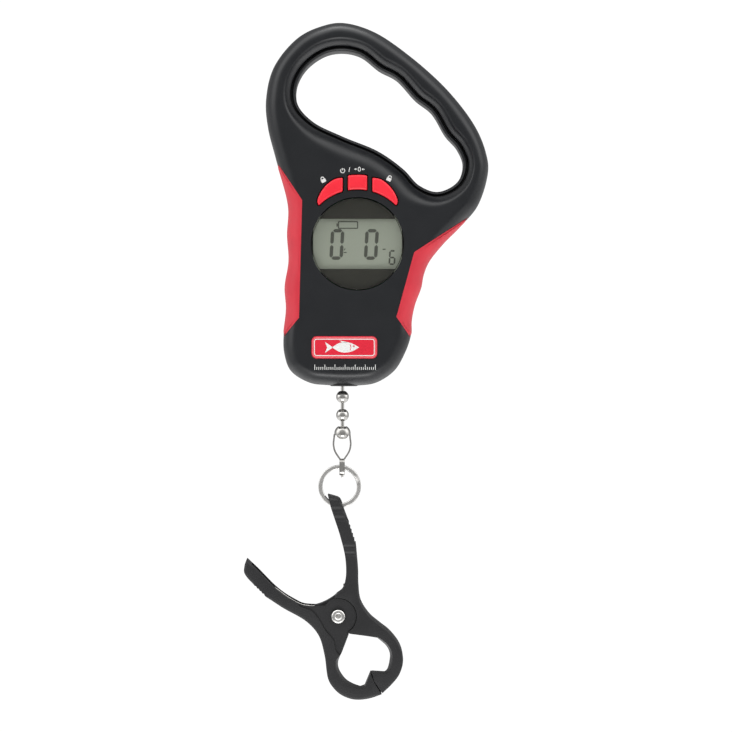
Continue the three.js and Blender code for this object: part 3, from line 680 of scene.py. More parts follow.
def shell(name, skin, through, cuts, node):
    """A hollow half housing; its cuts are (outline, depth) pairs."""
    build = Builder()
    side = skin.side
    rim = FRONT_RIM if side < 0 else REAR_LIP
    body_edge = edge_rings(build, skin, outer_edge, skin.outer_round, 1, OUTER_RIM, 7)
    opening_edge = edge_rings(build, skin, skin.opening, skin.inner_round, -1, rim, 8)
    outer_rings, inner_rings = [list(rings) for rings in zip(body_edge, opening_edge)]
    rings = []
    for grow, sink in HOLE_LEAD:
        loop = inset(through, -grow)
        rings.append(build.ring(loop, skin.y(loop) - side * sink))
    wide = inset(through, -HOLE_LEAD[0][0])
    below = build.ring(wide, skin.y(wide) - side * SKIN)
    build.sleeve([*rings, build.ring(through, skin.y(through) - side * (SKIN - 0.2)), below])
    outer_rings.append(rings[0])
    inner_rings.append(below)
    for rings, drop in ((outer_rings, 0.0), (inner_rings, SKIN)):
        every = np.array(build.points)
        grid = interior_grid([every[r][:, [0, 2]] for r in rings], GRID_PITCH)
        ids = build.add(np.column_stack([grid[:, 0], skin.y(grid) - side * drop, grid[:, 1]]))
        build.cap(rings, grid, ids)
    piece = make(name, build, "housing", SHELL, [node], sharp=40)
    for hole, depth in cuts:
        cut(piece, prism(hole, side * (skin.full - depth), side * (skin.full + 1)))
    smooth_by_angle(piece, 40)


def interior_grid(loops, pitch):
    """Points on a grid inside the first loop, clear of every loop."""
    low, high = loops[0].min(axis=0), loops[0].max(axis=0)
    x, z = np.meshgrid(np.arange(low[0], high[0], pitch), np.arange(low[1], high[1], pitch))
    points = np.column_stack([x.ravel(), z.ravel()])
    keep = inside(points, loops[0])
    for i, loop in enumerate(loops):
        if i:
            keep &= ~inside(points, loop)
        keep &= nearest(points, loop)[0] > 0.5 * pitch
    return points[keep]


# ------------------------------------------------------------------ front face pieces

window_low, window_high = span("window_lens")
WINDOW_X, _, WINDOW_Z = centre("window_lens")
WINDOW_RADIUS = (window_high[0] - window_low[0]) / 2


def middle_button(grow=0.0):
    half, outer, inner = 4.85 + grow, 34.2 + grow, 26.8 - grow
    lean_out = math.degrees(math.asin(half / outer))
    lean_in = math.degrees(math.asin(half / inner))
    top = arc(WINDOW_X, WINDOW_Z, outer, 90 - lean_out, 90 + lean_out, 14)
    bottom = arc(WINDOW_X, WINDOW_Z, inner, 90 + lean_in, 90 - lean_in, 14)
    return round_corners(np.vstack([top, bottom]), 1.0 + grow)


def side_button(side, grow=0.0):
    outer = spline([[7.2, 32.8], [11.3, 32.1], [15.8, 28.8], [18.9, 24.4], [20, 21.2], [19.6, 19.3]], 26)
    inner = arc(0, 0, 26.8, 47, 74.4, 14)
    loop = np.vstack([outer, [[18.9, 18.9]], inner])
    if grow:
        loop = inset(loop, -grow)
    loop = round_corners(loop, 0.9 + grow)
    return np.column_stack([WINDOW_X + side * loop[:, 0], WINDOW_Z + loop[:, 1]])[::side]


def round_corners(points, radius):
    """Rounds a closed outline's sharp corners by averaging along it."""
    pitch = 0.2
    length = np.sum(np.linalg.norm(np.roll(points, -1, axis=0) - points, axis=1))
    dense = resample(points, int(length / pitch), closed=True)
    reach = max(1, int(radius / pitch))
    weights = np.hanning(2 * reach + 1)[1:-1]
    weights /= weights.sum()
    half = len(weights) // 2
    wrapped = np.vstack([dense[-half:], dense, dense[:half]])
    smooth = np.column_stack([np.convolve(wrapped[:, i], weights, mode="valid") for i in (0, 1)])
    return resample(smooth, max(24, int(length / 0.45)), closed=True)


BUTTONS = {"button_left": lambda grow: side_button(-1, grow),
           "button_middle": middle_button,
           "button_right": lambda grow: side_button(1, grow)}


def add_housing():
    window = circle(WINDOW_X, WINDOW_Z, WINDOW_RADIUS + CLEARANCE, 128)
    cuts = [(edge(CLEARANCE), SKIN + 1) for edge in BUTTONS.values()]
    shell("front_shell", front_skin, window, cuts, "front_housing")
    low, high = span("battery_door")
    x, _, z = centre("battery_door")
    doorway = rounded_box(x, z, *(high - low)[[0, 2]] + 0.5, 1.2)
    wells = []
    for i in range(1, 7):
        x, _, z = centre(f"housing_screw_{i}")
        wells.append((circle(x, z, 3.05, 40), 1.9))
    shell("rear_shell", rear_skin, doorway, wells, "rear_housing")


GRIP_PROUD = 0.22
GRIP_THICK = 1.1
LEAST_WIDTH = 0.25


def add_grip(name, corners, away, side):
    """Red skin between a housing's side, as [x, z] samples, and the line through its corners."""
    side = side[np.argsort(side[:, 1])]
    corners = np.array(corners)[::-1]
    rows = np.linspace(corners[-1, 1] - 0.1, corners[0, 1] + 0.1, 150)
    x_out = np.interp(rows, side[:, 1], side[:, 0])
    widths = np.maximum(LEAST_WIDTH, (x_out - np.interp(rows, corners[:, 1], corners[:, 0])) * away)
    share = np.sin(np.linspace(0, math.pi / 2, 22))
    build = Builder()
    strips = []
    for z, x0, x1 in zip(rows, x_out - away * widths, x_out):
        x = x0 + (x1 - x0) * share
        flat = np.column_stack([x, np.full(len(x), z)])
        rise, _ = front_skin.shape(flat)
        lift = GRIP_PROUD * min(1, 0.8 * min(rows[0] - z, z - rows[-1]) - 1.2)
        height = front_skin.height(flat) + lift * rise
        x = x + away * lift * (1 - rise)
        start = [[x0 - away * 0.05, height[0] - 0.6], [x0 - away * 0.02, height[0] - 0.12]]
        half = np.vstack([start, np.column_stack([x, height])])
        half[2, 1] -= 0.05
        strip = np.vstack([half * [1, -1], [[x1 + away * lift, 0]], half[::-1]])
        strips.append(build.ring(np.column_stack([strip[:, 0], np.full(len(strip), z)]), strip[:, 1]))
    build.sleeve(strips, closed=False)
    piece = make(name + "_skin", build, "housing", GRIP, [name], sharp=50)
    thicken(piece, GRIP_THICK, away, lambda z: np.interp(z, rows[::-1], widths[::-1]))


def add_grips():
    x, z = outer_edge[:, 0], outer_edge[:, 1]
    add_grip("left_grip", LEFT_GRIP, -1, outer_edge[(x < -5) & (z < -30) & (z > -160)])
    add_grip("right_grip", RIGHT_GRIP, 1, outer_edge[(x > 20) & (z < -62) & (z > -160)])


def thicken(piece, millimetres, away, width_at):
    """Gives an open skin some thickness on its inner side, less of it where the skin is narrow."""
    if away * sum(face.normal.x * face.area for face in piece.data.polygons) < 0:
        piece.data.flip_normals()
    modifier = piece.modifiers.new("thick", "SOLIDIFY")
    modifier.thickness = millimetres * MM
    modifier.offset = -1
    group = piece.vertex_groups.new(name="depth")
    for vertex in piece.data.vertices:
        share = (width_at(vertex.co.z / MM) - 0.2) / (2 * millimetres)
        group.add([vertex.index], min(1, max(0.04, share)), "REPLACE")
    modifier.vertex_group = group.name


BUTTON_DEEP = 4.4
BUTTON_CROWN = [(1.1, 0.04), (0.75, 0.12), (0.4, 0.3), (0.15, 0.58), (0.0, 1.0), (0, BUTTON_DEEP)]


def add_buttons():
    for name, edge in BUTTONS.items():
        low, _ = span(name)
        build = Builder()
        loop = edge(-0.1)
        rings = build.steps(loop, [(d, low[1] + y) for d, y in BUTTON_CROWN])
        build.sleeve(rings)
        build.cap([rings[0]])
        build.cap([rings[-1]])
        make(name + "_cap", build, name, BUTTON, [name], sharp=45)


DISPLAY_STRIP = (-108.4, -83.6)


def add_window():
    build = Builder()
    slab(build, circle(WINDOW_X, WINDOW_Z, WINDOW_RADIUS, 128), window_low[1], window_high[1], 0.25, 0.1)
    make("window_clear_disc", build, "housing", LENS, ["window_lens"])

    low, high = span("window_mask")
    rim = WINDOW_RADIUS - 0.25
    lean = [math.degrees(math.asin((z - WINDOW_Z) / rim)) for z in DISPLAY_STRIP]
    right = arc(WINDOW_X, WINDOW_Z, rim, lean[0], lean[1], 24)
    left = arc(WINDOW_X, WINDOW_Z, rim, 180 - lean[1], 180 - lean[0], 24)
    build = Builder()
    slab(build, circle(WINDOW_X, WINDOW_Z, WINDOW_RADIUS, 128), low[1], high[1], 0.05, 0.05,
         [np.vstack([right, left])], steps=1)
    make("window_print_disc", build, "housing", MASK, ["window_mask"])


def plates(build, outlines, near, far):
    """Thin separate plates, such as printed marks."""
    for outline in outlines:
        build.block(outline, near, far)


def band(build, outer, inner, near, far):
    """A thin flat frame between two outlines."""
    slab(build, outer, near, far, 0.01, 0.01, [inner], steps=1)


SEGMENTS = {"0": "abcdef", "6": "acdefg", "-": "g"}


def seven_segment(digit, x, z, wide, tall, stroke, slant=0.06):
    """Bars of one digit; x and z are its lower left corner."""
    half, gap = stroke / 2, stroke * 0.12
    ends = {
        "a": ((0, tall), (wide, tall)), "g": ((0, tall / 2), (wide, tall / 2)), "d": ((0, 0), (wide, 0)),
        "f": ((0, tall / 2), (0, tall)), "e": ((0, 0), (0, tall / 2)),
        "b": ((wide, tall / 2), (wide, tall)), "c": ((wide, 0), (wide, tall / 2)),
    }
    bars = []
    for key in SEGMENTS[digit]:
        a, b = np.array(ends[key][0], float), np.array(ends[key][1], float)
        along = (b - a) / np.linalg.norm(b - a)
        across = np.array([-along[1], along[0]])
        a, b = a + along * gap, b - along * gap
        bar = np.array([a, a + along * half + across * half, b - along * half + across * half,
                        b, b - along * half - across * half, a + along * half - across * half])
        bars.append(np.column_stack([x + bar[:, 0] + slant * bar[:, 1], z + bar[:, 1]]))
    return bars


# (left, foot, width, height, stroke, digit)
DIGITS = [(-5.6, -103, 5.0, 13.6, 1.7, "0"), (11.5, -103, 5.0, 13.6, 1.7, "0"),
          (23.3, -106, 2.5, 6.6, 0.85, "6"), (19.6, -101.4, 1.9, 5.6, 0.55, "-")]
DASHES = [([[0.6, -100.2], [2.2, -100.2]], 0.5), ([[0.9, -99.0], [1.5, -98.2]], 0.45)]
BATTERY_SIGN = [[-1.9, -88.2], [7.6, -88.2], [7.6, -84.9], [-1.9, -84.9]]
BATTERY_TERMINAL = [[-2.9, -86.55], [-2.2, -86.55]]


def add_display():
    front = span("lcd_glass")[0][1]
    near, far = front - PRINT_FRONT, front - PRINT_BACK
    bars = []
    for x, z, wide, tall, stroke, digit in DIGITS:
        bars += seven_segment(digit, x, z, wide, tall, stroke)
    for route, width in DASHES:
        bars.append(ribbon(route, width))
    build = Builder()
    plates(build, bars, near, far)
    battery = round_corners(np.array(BATTERY_SIGN), 0.4)
    band(build, inset(battery, -0.28), inset(battery, 0.28), near, far)
    plates(build, [ribbon(BATTERY_TERMINAL, 1.6)], near, far)
    make("display_marks", build, "housing", LCD_INK)


TICK_FOOT = -158.4


def turned_marks(marks, x, z, angle, size):
    """Marks drawn round the origin, scaled, turned and moved into place."""
    c, s = math.cos(math.radians(angle)), math.sin(math.radians(angle))
    turn = np.array([[c, -s], [s, c]])
    return [mark @ turn.T * size + [x, z] for mark in marks]


def power_sign():
    return [ribbon(arc(0, 0, 1.0, 125, 415, 30), 0.34), ribbon([[0, 0.2], [0, 1.25]], 0.34)]


def lock_sign():
    shackle = np.vstack([[[-0.58, 0.1]], arc(0, 0.5, 0.58, 180, 0, 16), [[0.58, 0.1]]])
    return [rounded_box(0, -0.45, 1.9, 1.35, 0.2), ribbon(shackle, 0.3)]


def tare_sign():
    """A nought between two arrow heads."""
    nought = [ribbon(arc(0, 0, 1, start, start + 180, 20) * [0.62, 1.05], 0.34) for start in (0, 180)]
    arrows = []
    for side in (-1, 1):
        arrows.append(np.array([[side * 1.25, 0], [side * 2.0, 0.6], [side * 2.0, -0.6]]))
        arrows.append(ribbon([[side * 1.95, 0], [side * 2.7, 0]], 0.32))
    return nought + arrows


def add_printing():
    slash = [ribbon([[-0.35, -1.1], [0.35, 1.1]], 0.3)]
    marks = []
    for sign, degrees, radius, size in (
            (power_sign(), 101.5, 36.9, 1.05), (slash, 96.3, 36.9, 1.0), (tare_sign(), 88.6, 36.9, 0.95),
            (lock_sign(), 118.3, 36.0, 1.25), (lock_sign(), 64.1, 36.0, 1.25)):
        x, z = arc(WINDOW_X, WINDOW_Z, radius, degrees, degrees, 1)[0]
        marks += turned_marks(sign, x, z, degrees - 90, size)
    for i in range(31):
        x, tall = i - 13.6, 2.6 if i % 5 == 0 else 1.4
        marks.append(ribbon([[x, TICK_FOOT], [x, TICK_FOOT + tall]], 0.3))
    build = Builder()
    plates(build, marks, FACE - 0.05, FACE + 0.02)
    make("face_printing", build, "housing", INK)


FISH_BACK = [[-6.2, 0], [-2, 2.3], [3, 2.2], [7.4, 0]]
FISH_BELLY = [[7.4, 0], [3, -2.2], [-2, -2.3], [-6.2, 0]]
FISH_TAIL = [[-5.6, 0.0], [-9.6, 2.7], [-8.5, 0], [-9.6, -2.7]]
FISH_FIN = [[-0.8, 2.35], [-2.6, 3.5], [2.4, 2.4]]


def add_badge():
    low, high = span("badge")
    x, _, z = centre("badge")
    size = high - low
    plate = rounded_box(x, z, size[0], size[2], 2.6)
    near, far = low[1] - 0.04, low[1] + 0.05
    build = Builder()
    slab(build, plate, low[1], high[1], 0.3, 0.05)
    make("badge_plate", build, "housing", BADGE_RED, ["badge"])
    build = Builder()
    line = inset(plate, 0.45)
    band(build, line, inset(line, 0.55), near, far)
    make("badge_rim", build, "housing", PALE_RED)
    build = Builder()
    line = inset(plate, 1.25)
    band(build, line, inset(line, 0.4), near, far)
    body = np.vstack([spline(FISH_BACK, 24), spline(FISH_BELLY, 24)[1:-1]])
    plates(build, [np.array(shape) + [x, z] for shape in (body, FISH_TAIL, FISH_FIN)], near, far)
    make("badge_fish", build, "housing", INK)
    build = Builder()
    eye = circle(x + 4.7, z + 0.55, 0.42, 20)
    gill = ribbon(arc(x + 0.6, z, 2.6, -35, 35, 12), 0.3)
    plates(build, [eye, gill], low[1] - 0.07, low[1] - 0.03)
    make("badge_fish_marks", build, "housing", BADGE_RED)


def add_bushing():
    low, high = span("bottom_bushing")
    x = centre("bottom_bushing")[0]
    r = (high[0] - low[0]) / 2
    base = low[2]
    profile = [(2.6, 0.25), (2.85, 0.0), (r - 0.9, 0.0), (r - 0.35, 0.15), (r, 0.6), (r, 1.7),
               (4.3, 1.7), (4.3, 3.8), (5.6, 3.8), (5.6, 5.2), (2.6, 5.2), (2.6, 0.25)]
    build = Builder()
    lathe(build, profile, x, base, 64)
    make("chain_bushing", build, "housing", TRIM_AND_JAW_SHADE, ["bottom_bushing"])


# ------------------------------------------------------------------ back pieces

def add_door():
    low, high = span("battery_door")
    x, _, z = centre("battery_door")
    size = high - low
    build = Builder()
    slab(build, rounded_box(x, z, size[0], size[2], 1.0), low[1], high[1] - 0.25, 0.1, 0.35)
    for i in range(5):
        rib = rounded_box(x, low[2] + 5 + 1.9 * i, 12 - abs(i - 2) * 1.6, 0.9, 0.4)
        slab(build, rib, high[1] - 0.5, high[1], 0.02, 0.2)
    make("door_plate", build, "battery_door", SHELL, ["battery_door"])


def add_screw(name, x, z, top, length, radius, body, node):
    """A pan-head screw along Y with a cross recess; its head faces +Y."""
    head = [(0, 0.0), (radius * 0.55, -0.05), (radius * 0.86, -0.25), (radius, -0.65), (radius, -1.6),
            (1.2, -1.6), (1.2, -length + 1), (0.2, -length), (0, -length)]
    build = Builder()
    lathe(build, head, x, z, 40, "y", top)
    piece = make(name, build, body, NICKEL, [node])
    for wide, tall in ((0.62, radius * 1.15), (radius * 1.15, 0.62)):
        cross = Builder()
        slab(cross, rounded_box(x, z, wide, tall, 0.08, 3), top - 0.75, top + 1, 0.02, 0.02, steps=1)
        cut(piece, cross)
    smooth_by_angle(piece)


def add_screws():
    for i in range(1, 7):
        node = f"housing_screw_{i}"
        low, high = span(node)
        x, _, z = centre(node)
        add_screw(f"screw_{i}", x, z, high[1], high[1] - low[1], 2.6, "housing", node)


# ------------------------------------------------------------------ chain and ring

def ball(radius, z, start, stop, count):
    points = arc(0, z, radius, start, stop, count)
    return [(max(0.0, r), h) for r, h in points]


# radii of a bead's skin, inside and holes, then of a pin's round head and neck
BEAD_OUTSIDE = 3.2
BEAD_INSIDE = 2.7
BEAD_HOLE = 1.3
PIN_HEAD = 1.5
PIN_NECK = 0.85
HEAD_OFFSET = 1.55


def add_beads():
    rim = math.degrees(math.acos(BEAD_HOLE / BEAD_OUTSIDE))
    rim_in = math.degrees(math.acos(BEAD_HOLE / BEAD_INSIDE))
    for i, body in ((1, "bead_1"), (2, "link_2"), (3, "link_3")):
        x, _, z = centre(f"bead_{i}")
        outside = ball(BEAD_OUTSIDE, 0, -rim, rim, 30)
        inner = ball(BEAD_INSIDE, 0, rim_in, -rim_in, 20)
        top_lip = (BEAD_HOLE - 0.02, outside[-1][1] - 0.12)
        low_lip = (BEAD_HOLE - 0.02, outside[0][1] + 0.12)
        profile = [*outside, top_lip, *inner, low_lip, outside[0]]
        build = Builder()
        lathe(build, profile, x, z, 64)
        make(f"bead_{i}_shell", build, body, NICKEL, [f"bead_{i}"], sharp=50)


def add_pins():
    neck = math.degrees(math.acos(PIN_NECK / PIN_HEAD))
    beads = [centre(f"bead_{i}")[2] for i in (1, 2, 3)]
    end = span("load_stem")[1][2]
    build = Builder()
    foot = ball(PIN_HEAD, beads[0] + HEAD_OFFSET, -90, neck, 14)
    top = [(PIN_NECK, end - 2.9), (2.5, end - 2.9), (2.5, end - 0.8), (1.6, end - 0.1), (0, end)]
    lathe(build, [*foot, *top], 0, 0, 32)
    make("stem", build, "load_stem", NICKEL, ["load_stem"])
    for i, body in ((1, "link_2"), (2, "link_3")):
        build = Builder()
        foot = ball(PIN_HEAD, beads[i] + HEAD_OFFSET, -90, neck, 14)
        top = ball(PIN_HEAD, beads[i - 1] - HEAD_OFFSET, -neck, 90, 14)
        lathe(build, [*foot, *top], 0, 0, 32)
        make(f"pin_{i}", build, body, DULL_NICKEL, [f"bead_pin_{i}"])


COUPLING_X = -0.2
EYE_TOP = -203.2
EYE_FOOT = -210.8
EYE_HALF_WIDTH = 2.0
LEG_STEPS = 40
EYE_STEPS = 60
# one leg, from the cap round the last bead down to the eye: [out from the middle, up from the bead]
LEG = [[3.8, -0.4], [4.05, -2.6], [4.3, -5.5], [3.85, -8.2], [3, -10.1], [1.8, -11.9], [0.35, -14]]


def strap_section(wide, thick, rounding):
    return rounded_box(0, 0, thick, wide, rounding, 3)


def add_coupling():
    foot = span("chain_coupling")[0][2]
    bead = centre("bead_3")[2]
    build = Builder()
    outside = ball(4.08, 0, -14, 57, 20)
    inner = ball(3.5, 0, 54, -14, 16)
    lathe(build, [*outside, *inner, outside[0]], 0, bead, 64)
    for side in (-1, 1):
        route = spline(LEG, LEG_STEPS)
        path = np.column_stack([COUPLING_X + side * route[:, 0], np.zeros(LEG_STEPS), bead + route[:, 1]])
        sweep(build, path, strap_section(2.5, 0.86, 0.22), normal=(0, 1, 0))
    half = EYE_HALF_WIDTH
    reach = (EYE_TOP - EYE_FOOT) / 2 - half
    middle = (EYE_TOP + EYE_FOOT) / 2
    loop = np.vstack([arc(0, middle + reach, half, 0, 180, 14), arc(0, middle - reach, half, 180, 360, 14)])
    loop = resample(loop, EYE_STEPS, closed=True)
    path = np.column_stack([np.full(EYE_STEPS, COUPLING_X), loop])
    path = np.vstack([path, path[:2]])
    sweep(build, path, strap_section(2.7, 0.8, 0.3), normal=(1, 0, 0))
    end, top = foot - bead, EYE_FOOT - bead + 0.9
    lathe(build, [(0, end), (0.42, end), (0.62, end + 0.3), (0.62, top), (0, top)], COUPLING_X, bead, 20)
    make("coupling_wire", build, "coupling", DULL_NICKEL, ["chain_coupling"], sharp=40)


def add_ring():
    x, _, z = centre("split_ring")
    low, high = span("split_ring")
    outer = (high[0] - low[0]) / 2
    wire, layer = 2.2, 1.16
    radius = outer - wire / 2
    angle = np.linspace(1, -700, 400)
    drift = np.clip((-angle - 315) / 42, 0, 1)
    y = (drift * drift * (3 - 2 * drift) * 2 - 1) * layer / 2
    a = np.radians(angle)
    path = np.column_stack([x + radius * np.cos(a), y, z + radius * np.sin(a)])
    build = Builder()
    sweep(build, path, rounded_box(0, 0, wire, layer - 0.08, 0.48, 5), normal=(0, 1, 0))
    make("key_ring", build, "ring", RING_STEEL, ["split_ring"], sharp=45)


# ------------------------------------------------------------------ lip clamp

PIVOT_X, _, PIVOT_Z = centre("pivot_rivet")
# half thickness of a clamp half, thickness of its side walls, half thickness of the hub, radius of the hub
HALF = span("clamp_right")[1][1]
FLANGE = 1.6
CORE = 3.1
DISC = 8.9
RIVET_HOLE = 1.9
# outline points that each run of the clamp has
RIGHT_TOP_STEPS = 24
RIGHT_LOW_STEPS = 90
LEFT_LOW_STEPS = 100
LEFT_TIP_STEPS = 16
LEFT_ARM_STEPS = 60
CHANNEL_STEPS = 40


def teeth(start, stop, count, deep):
    """Grip teeth along an edge; each has a steep and a shallow side."""
    start, stop = np.array(start, float), np.array(stop, float)
    along = stop - start
    inward = np.array([-along[1], along[0]]) / np.linalg.norm(along) * deep
    points = []
    for i in range(count):
        points.append(start + along * i / count)
        points.append(start + along * (i + 0.12) / count + inward * 0.2)
        points.append(start + along * (i + 0.7) / count + inward)
        points.append(start + along * (i + 0.85) / count + inward * 0.8)
    return np.vstack([points, stop])


RIGHT_OUTER = np.vstack([
    spline([[-7.3, -220.5], [-4.2, -221.3], [-1.4, -222.5], [0.75, -228], [2.7, -233.2]], RIGHT_TOP_STEPS),
    teeth([3.2, -234.2], [6.6, -244.6], 5, -0.45),
    spline([[6.9, -247.2], [7.8, -258], [8, -266], [9.1, -273.6], [13.5, -280.5], [18.4, -284.7],
            [23.4, -288.7], [28.6, -295.6], [30.25, -303], [28.4, -310], [24.2, -315.4], [20, -319.3]],
           RIGHT_LOW_STEPS),
])
RIGHT_JAW = np.vstack([
    [[15.75, -313.6], [14.1, -309]],
    spline([[21.2, -309], [22.3, -307.9], [23.5, -303.5], [23.6, -300], [22, -296.5], [17.4, -292.4]], 24),
    [[3.8, -290.2]],
])
RIGHT_INNER = spline([[-3, -270.3], [0, -267.9], [1.6, -262.5], [1.5, -252.5], [-1.3, -240.5], [-4.1, -232],
                      [-5.9, -226.5]], 40)
RIGHT_WEB = spline([[-1, -268.2], [-3.6, -270.8], [-7, -273.1], [-10.5, -274.8], [-14, -275.9]], 12)
LEFT_ARM_INNER = spline([[-47.7, -252.7], [-41.65, -258.65], [-33.7, -266.7], [-28.7, -270.6],
                         [-24.5, -273.1], [-20, -275.3], [-15, -275.9], [-8.6, -275.8]], LEFT_ARM_STEPS)
LEFT_JAW = np.vstack([
    spline([[3.1, -290.2], [-0.6, -300], [-2.2, -304.6], [-1.7, -308], [1.7, -312.9], [5.7, -315.3],
            [8.95, -316.4]], 30),
    [[10.9, -316], [14.0, -309.2], [15.7, -313.7]],
])
LEFT_OUTER = np.vstack([
    spline([[19.5, -319.9], [15.4, -321.5], [11.8, -322.35], [7.8, -322.7], [3.9, -322.2], [-1.2, -319.9],
            [-4.9, -316.3], [-7.1, -312.4], [-9, -300], [-11.9, -290.6], [-17.9, -283.8], [-29.9, -276.8],
            [-37.9, -271.5]], LEFT_LOW_STEPS),
    teeth([-38.5, -271], [-43.6, -266], 4, -0.35),
    spline([[-44.3, -265.2], [-47.2, -262.2], [-49, -259.2], [-48.7, -255.3]], LEFT_TIP_STEPS),
])


# the hollow in each arm, along its outer wall and then back along its open side
RIGHT_CHANNEL = [[-3.3, -223.6], [-1.5, -228], [0.9, -234.6], [4.4, -243.8], [5.2, -250], [6, -258],
                 [6.2, -265]]
RIGHT_CHANNEL_BACK = [[1.8, -265], [-8, -262], [-20, -240], [-20, -222.3], [-7.2, -222.3]]
LEFT_CHANNEL = [[-12.1, -287.1], [-16.7, -282.5], [-29.2, -275.2], [-38.3, -269.1], [-45.3, -262],
                [-46.6, -259]]
LEFT_CHANNEL_BACK = [[-45.4, -255.4], [-38, -240], [-8, -262], [-3, -284]]
# where the left half steps down round the hub
LEFT_STEP = [[-22.2, -274.2], [-21.2, -276], [-15.4, -278.3], [-12.3, -281.6], [-8.5, -288],
             [-4.4, -293.1], [-3.4, -297.7], [-1.6, -300.4]]
LEFT_STEP_BACK = [[8, -296], [16, -280], [8, -268], [-20, -268]]
# middle and reach of the painted shade on the walls inside the jaw
JAW_MIDDLE = (10.5, 0, -303)
JAW_SHADE_REACH = 18


def edge_rounds(parts):
    """Edge rounding for each outline point, from (count, radius) pairs, blended where it changes."""
    values = np.concatenate([np.full(count, radius) for count, radius in parts])
    return blur(values, 3)


def clamp_half(build, outline, rounds, draft):
    """A plate with rounded edges whose drafted walls open towards both faces."""
    turn = np.linspace(0, math.pi / 2, 5)
    rings = []
    for side in (-1, 1):
        rows = []
        for a in turn:
            depth = rounds * (1 - math.cos(a))
            rows.append((rounds * (1 - math.sin(a)) + draft * (1 - depth / HALF), side * (HALF - depth)))
        rings += rows if side < 0 else [(0 * draft, 0 * draft), *rows[::-1]]
    loops = build.steps(outline, rings)
    build.sleeve(loops)
    build.cap([loops[0]])
    build.cap([loops[-1]])


def drum(radius, near, far, sides=96):
    return prism(circle(PIVOT_X, PIVOT_Z, radius, sides), near, far)


def ripple(piece):
    """Cross ribs on the front of the right arm, two sets of shallow waves."""
    bm = bmesh.new()
    bm.from_mesh(piece.data)
    for z in np.concatenate([np.arange(-234.4, -221.6, 0.55), np.arange(-252.3, -244.9, 0.5)]):
        everything = [*bm.verts, *bm.edges, *bm.faces]
        bmesh.ops.bisect_plane(bm, geom=everything, plane_co=(0, 0, z * MM), plane_no=(0, 0, 1))
    for vertex in bm.verts:
        z = vertex.co.z / MM
        if vertex.co.y / MM > -HALF + 0.5 or vertex.co.x / MM > 9:
            continue
        for low, high, wave in ((-234.4, -221.6, 4.4), (-252.3, -245, 3.4)):
            if low < z < high:
                fade = min(1, (z - low) / 1.0, (high - z) / 1.0)
                phase = 2 * math.pi * (z - high) / wave
                vertex.co.y += 0.24 * fade * (1 - math.cos(phase)) * MM
    bm.to_mesh(piece.data)
    bm.free()


def ring_hole(z, radius, count):
    """A rod along X where the split ring passes through the arm."""
    build = Builder()
    angle = np.linspace(0, 2 * math.pi, count, endpoint=False)
    y, up = radius * np.cos(angle), z + radius * np.sin(angle)
    rings = [build.add(np.column_stack([np.full(count, x), y, up])) for x in (-20, 20)]
    build.sleeve(rings)
    for end in rings:
        build.fan(end)
    return build


def add_right_clamp():
    hub = arc(PIVOT_X, PIVOT_Z, DISC + 0.3, -62, 104, 60)
    outline = np.vstack([RIGHT_OUTER, RIGHT_JAW, hub, RIGHT_INNER])
    toothed = len(RIGHT_OUTER) - RIGHT_TOP_STEPS - RIGHT_LOW_STEPS
    rounds = edge_rounds([(RIGHT_TOP_STEPS, 1.0), (toothed, 0.3), (RIGHT_LOW_STEPS - 2, 1.2), (2, 0.2),
                          (1, 0.03), (len(RIGHT_JAW) - 1, 0.15), (60, 0.15), (len(RIGHT_INNER), 0.25)])
    draft = edge_rounds([(len(RIGHT_OUTER), 0), (2, 0), (24, 1.3), (61, 0), (len(RIGHT_INNER), 0)])
    build = Builder()
    clamp_half(build, outline, rounds, draft)
    piece = make("clamp_right_half", build, "clamp", CLAMP, ["clamp_right"])
    channel = np.vstack([spline(RIGHT_CHANNEL, CHANNEL_STEPS), RIGHT_CHANNEL_BACK])
    cut(piece, prism(channel, -HALF + FLANGE, HALF - FLANGE))
    cut(piece, ring_hole(span("split_ring")[0][2] + 1.1, 2.1, 40))
    collar = np.vstack([arc(PIVOT_X, PIVOT_Z, DISC + 1.2, -60, 100, 50),
                        arc(PIVOT_X, PIVOT_Z, DISC - 0.5, 102, 298, 50)])
    web = np.vstack([RIGHT_WEB, [[-9, -277.4], [-1.5, -276], [1, -268.6]]])
    for outline in (collar, web):
        core = Builder()
        slab(core, outline, -CORE, CORE, 0.25, 0.25)
        join(piece, core)
    cut(piece, drum(RIVET_HOLE, -FAR, FAR, 48))
    cut(piece, drum(6.3, -1.7, FAR, 64))
    for x0, x1, z0, z1 in ((-30, -1.9, -284, -276.2), (-2, 3.4, -277, -262.5)):
        box = np.array([[x0, z0], [x1, z0], [x1, z1], [x0, z1]], float)
        cut(piece, prism(box, -1.7, CORE + 0.1))
    ripple(piece)
    # painted shade: the walls inside the jaw get the darker trim plastic
    paint_jaw_shade(piece)
    smooth_by_angle(piece, 35)


def paint_jaw_shade(piece):
    """Paints shade inside the jaw: faces that turn towards the jaw's middle get the darker trim plastic, as
    painted shade.
    """
    piece.data.materials.append(TRIM_AND_JAW_SHADE)
    middle = Vector(JAW_MIDDLE) * MM
    for face in piece.data.polygons:
        inward = middle - face.center
        inward.y = 0
        near = inward.length < JAW_SHADE_REACH * MM
        if near and face.normal.dot(inward.normalized()) > 0.5 and abs(face.normal.y) < 0.6:
            face.material_index = len(piece.data.materials) - 1


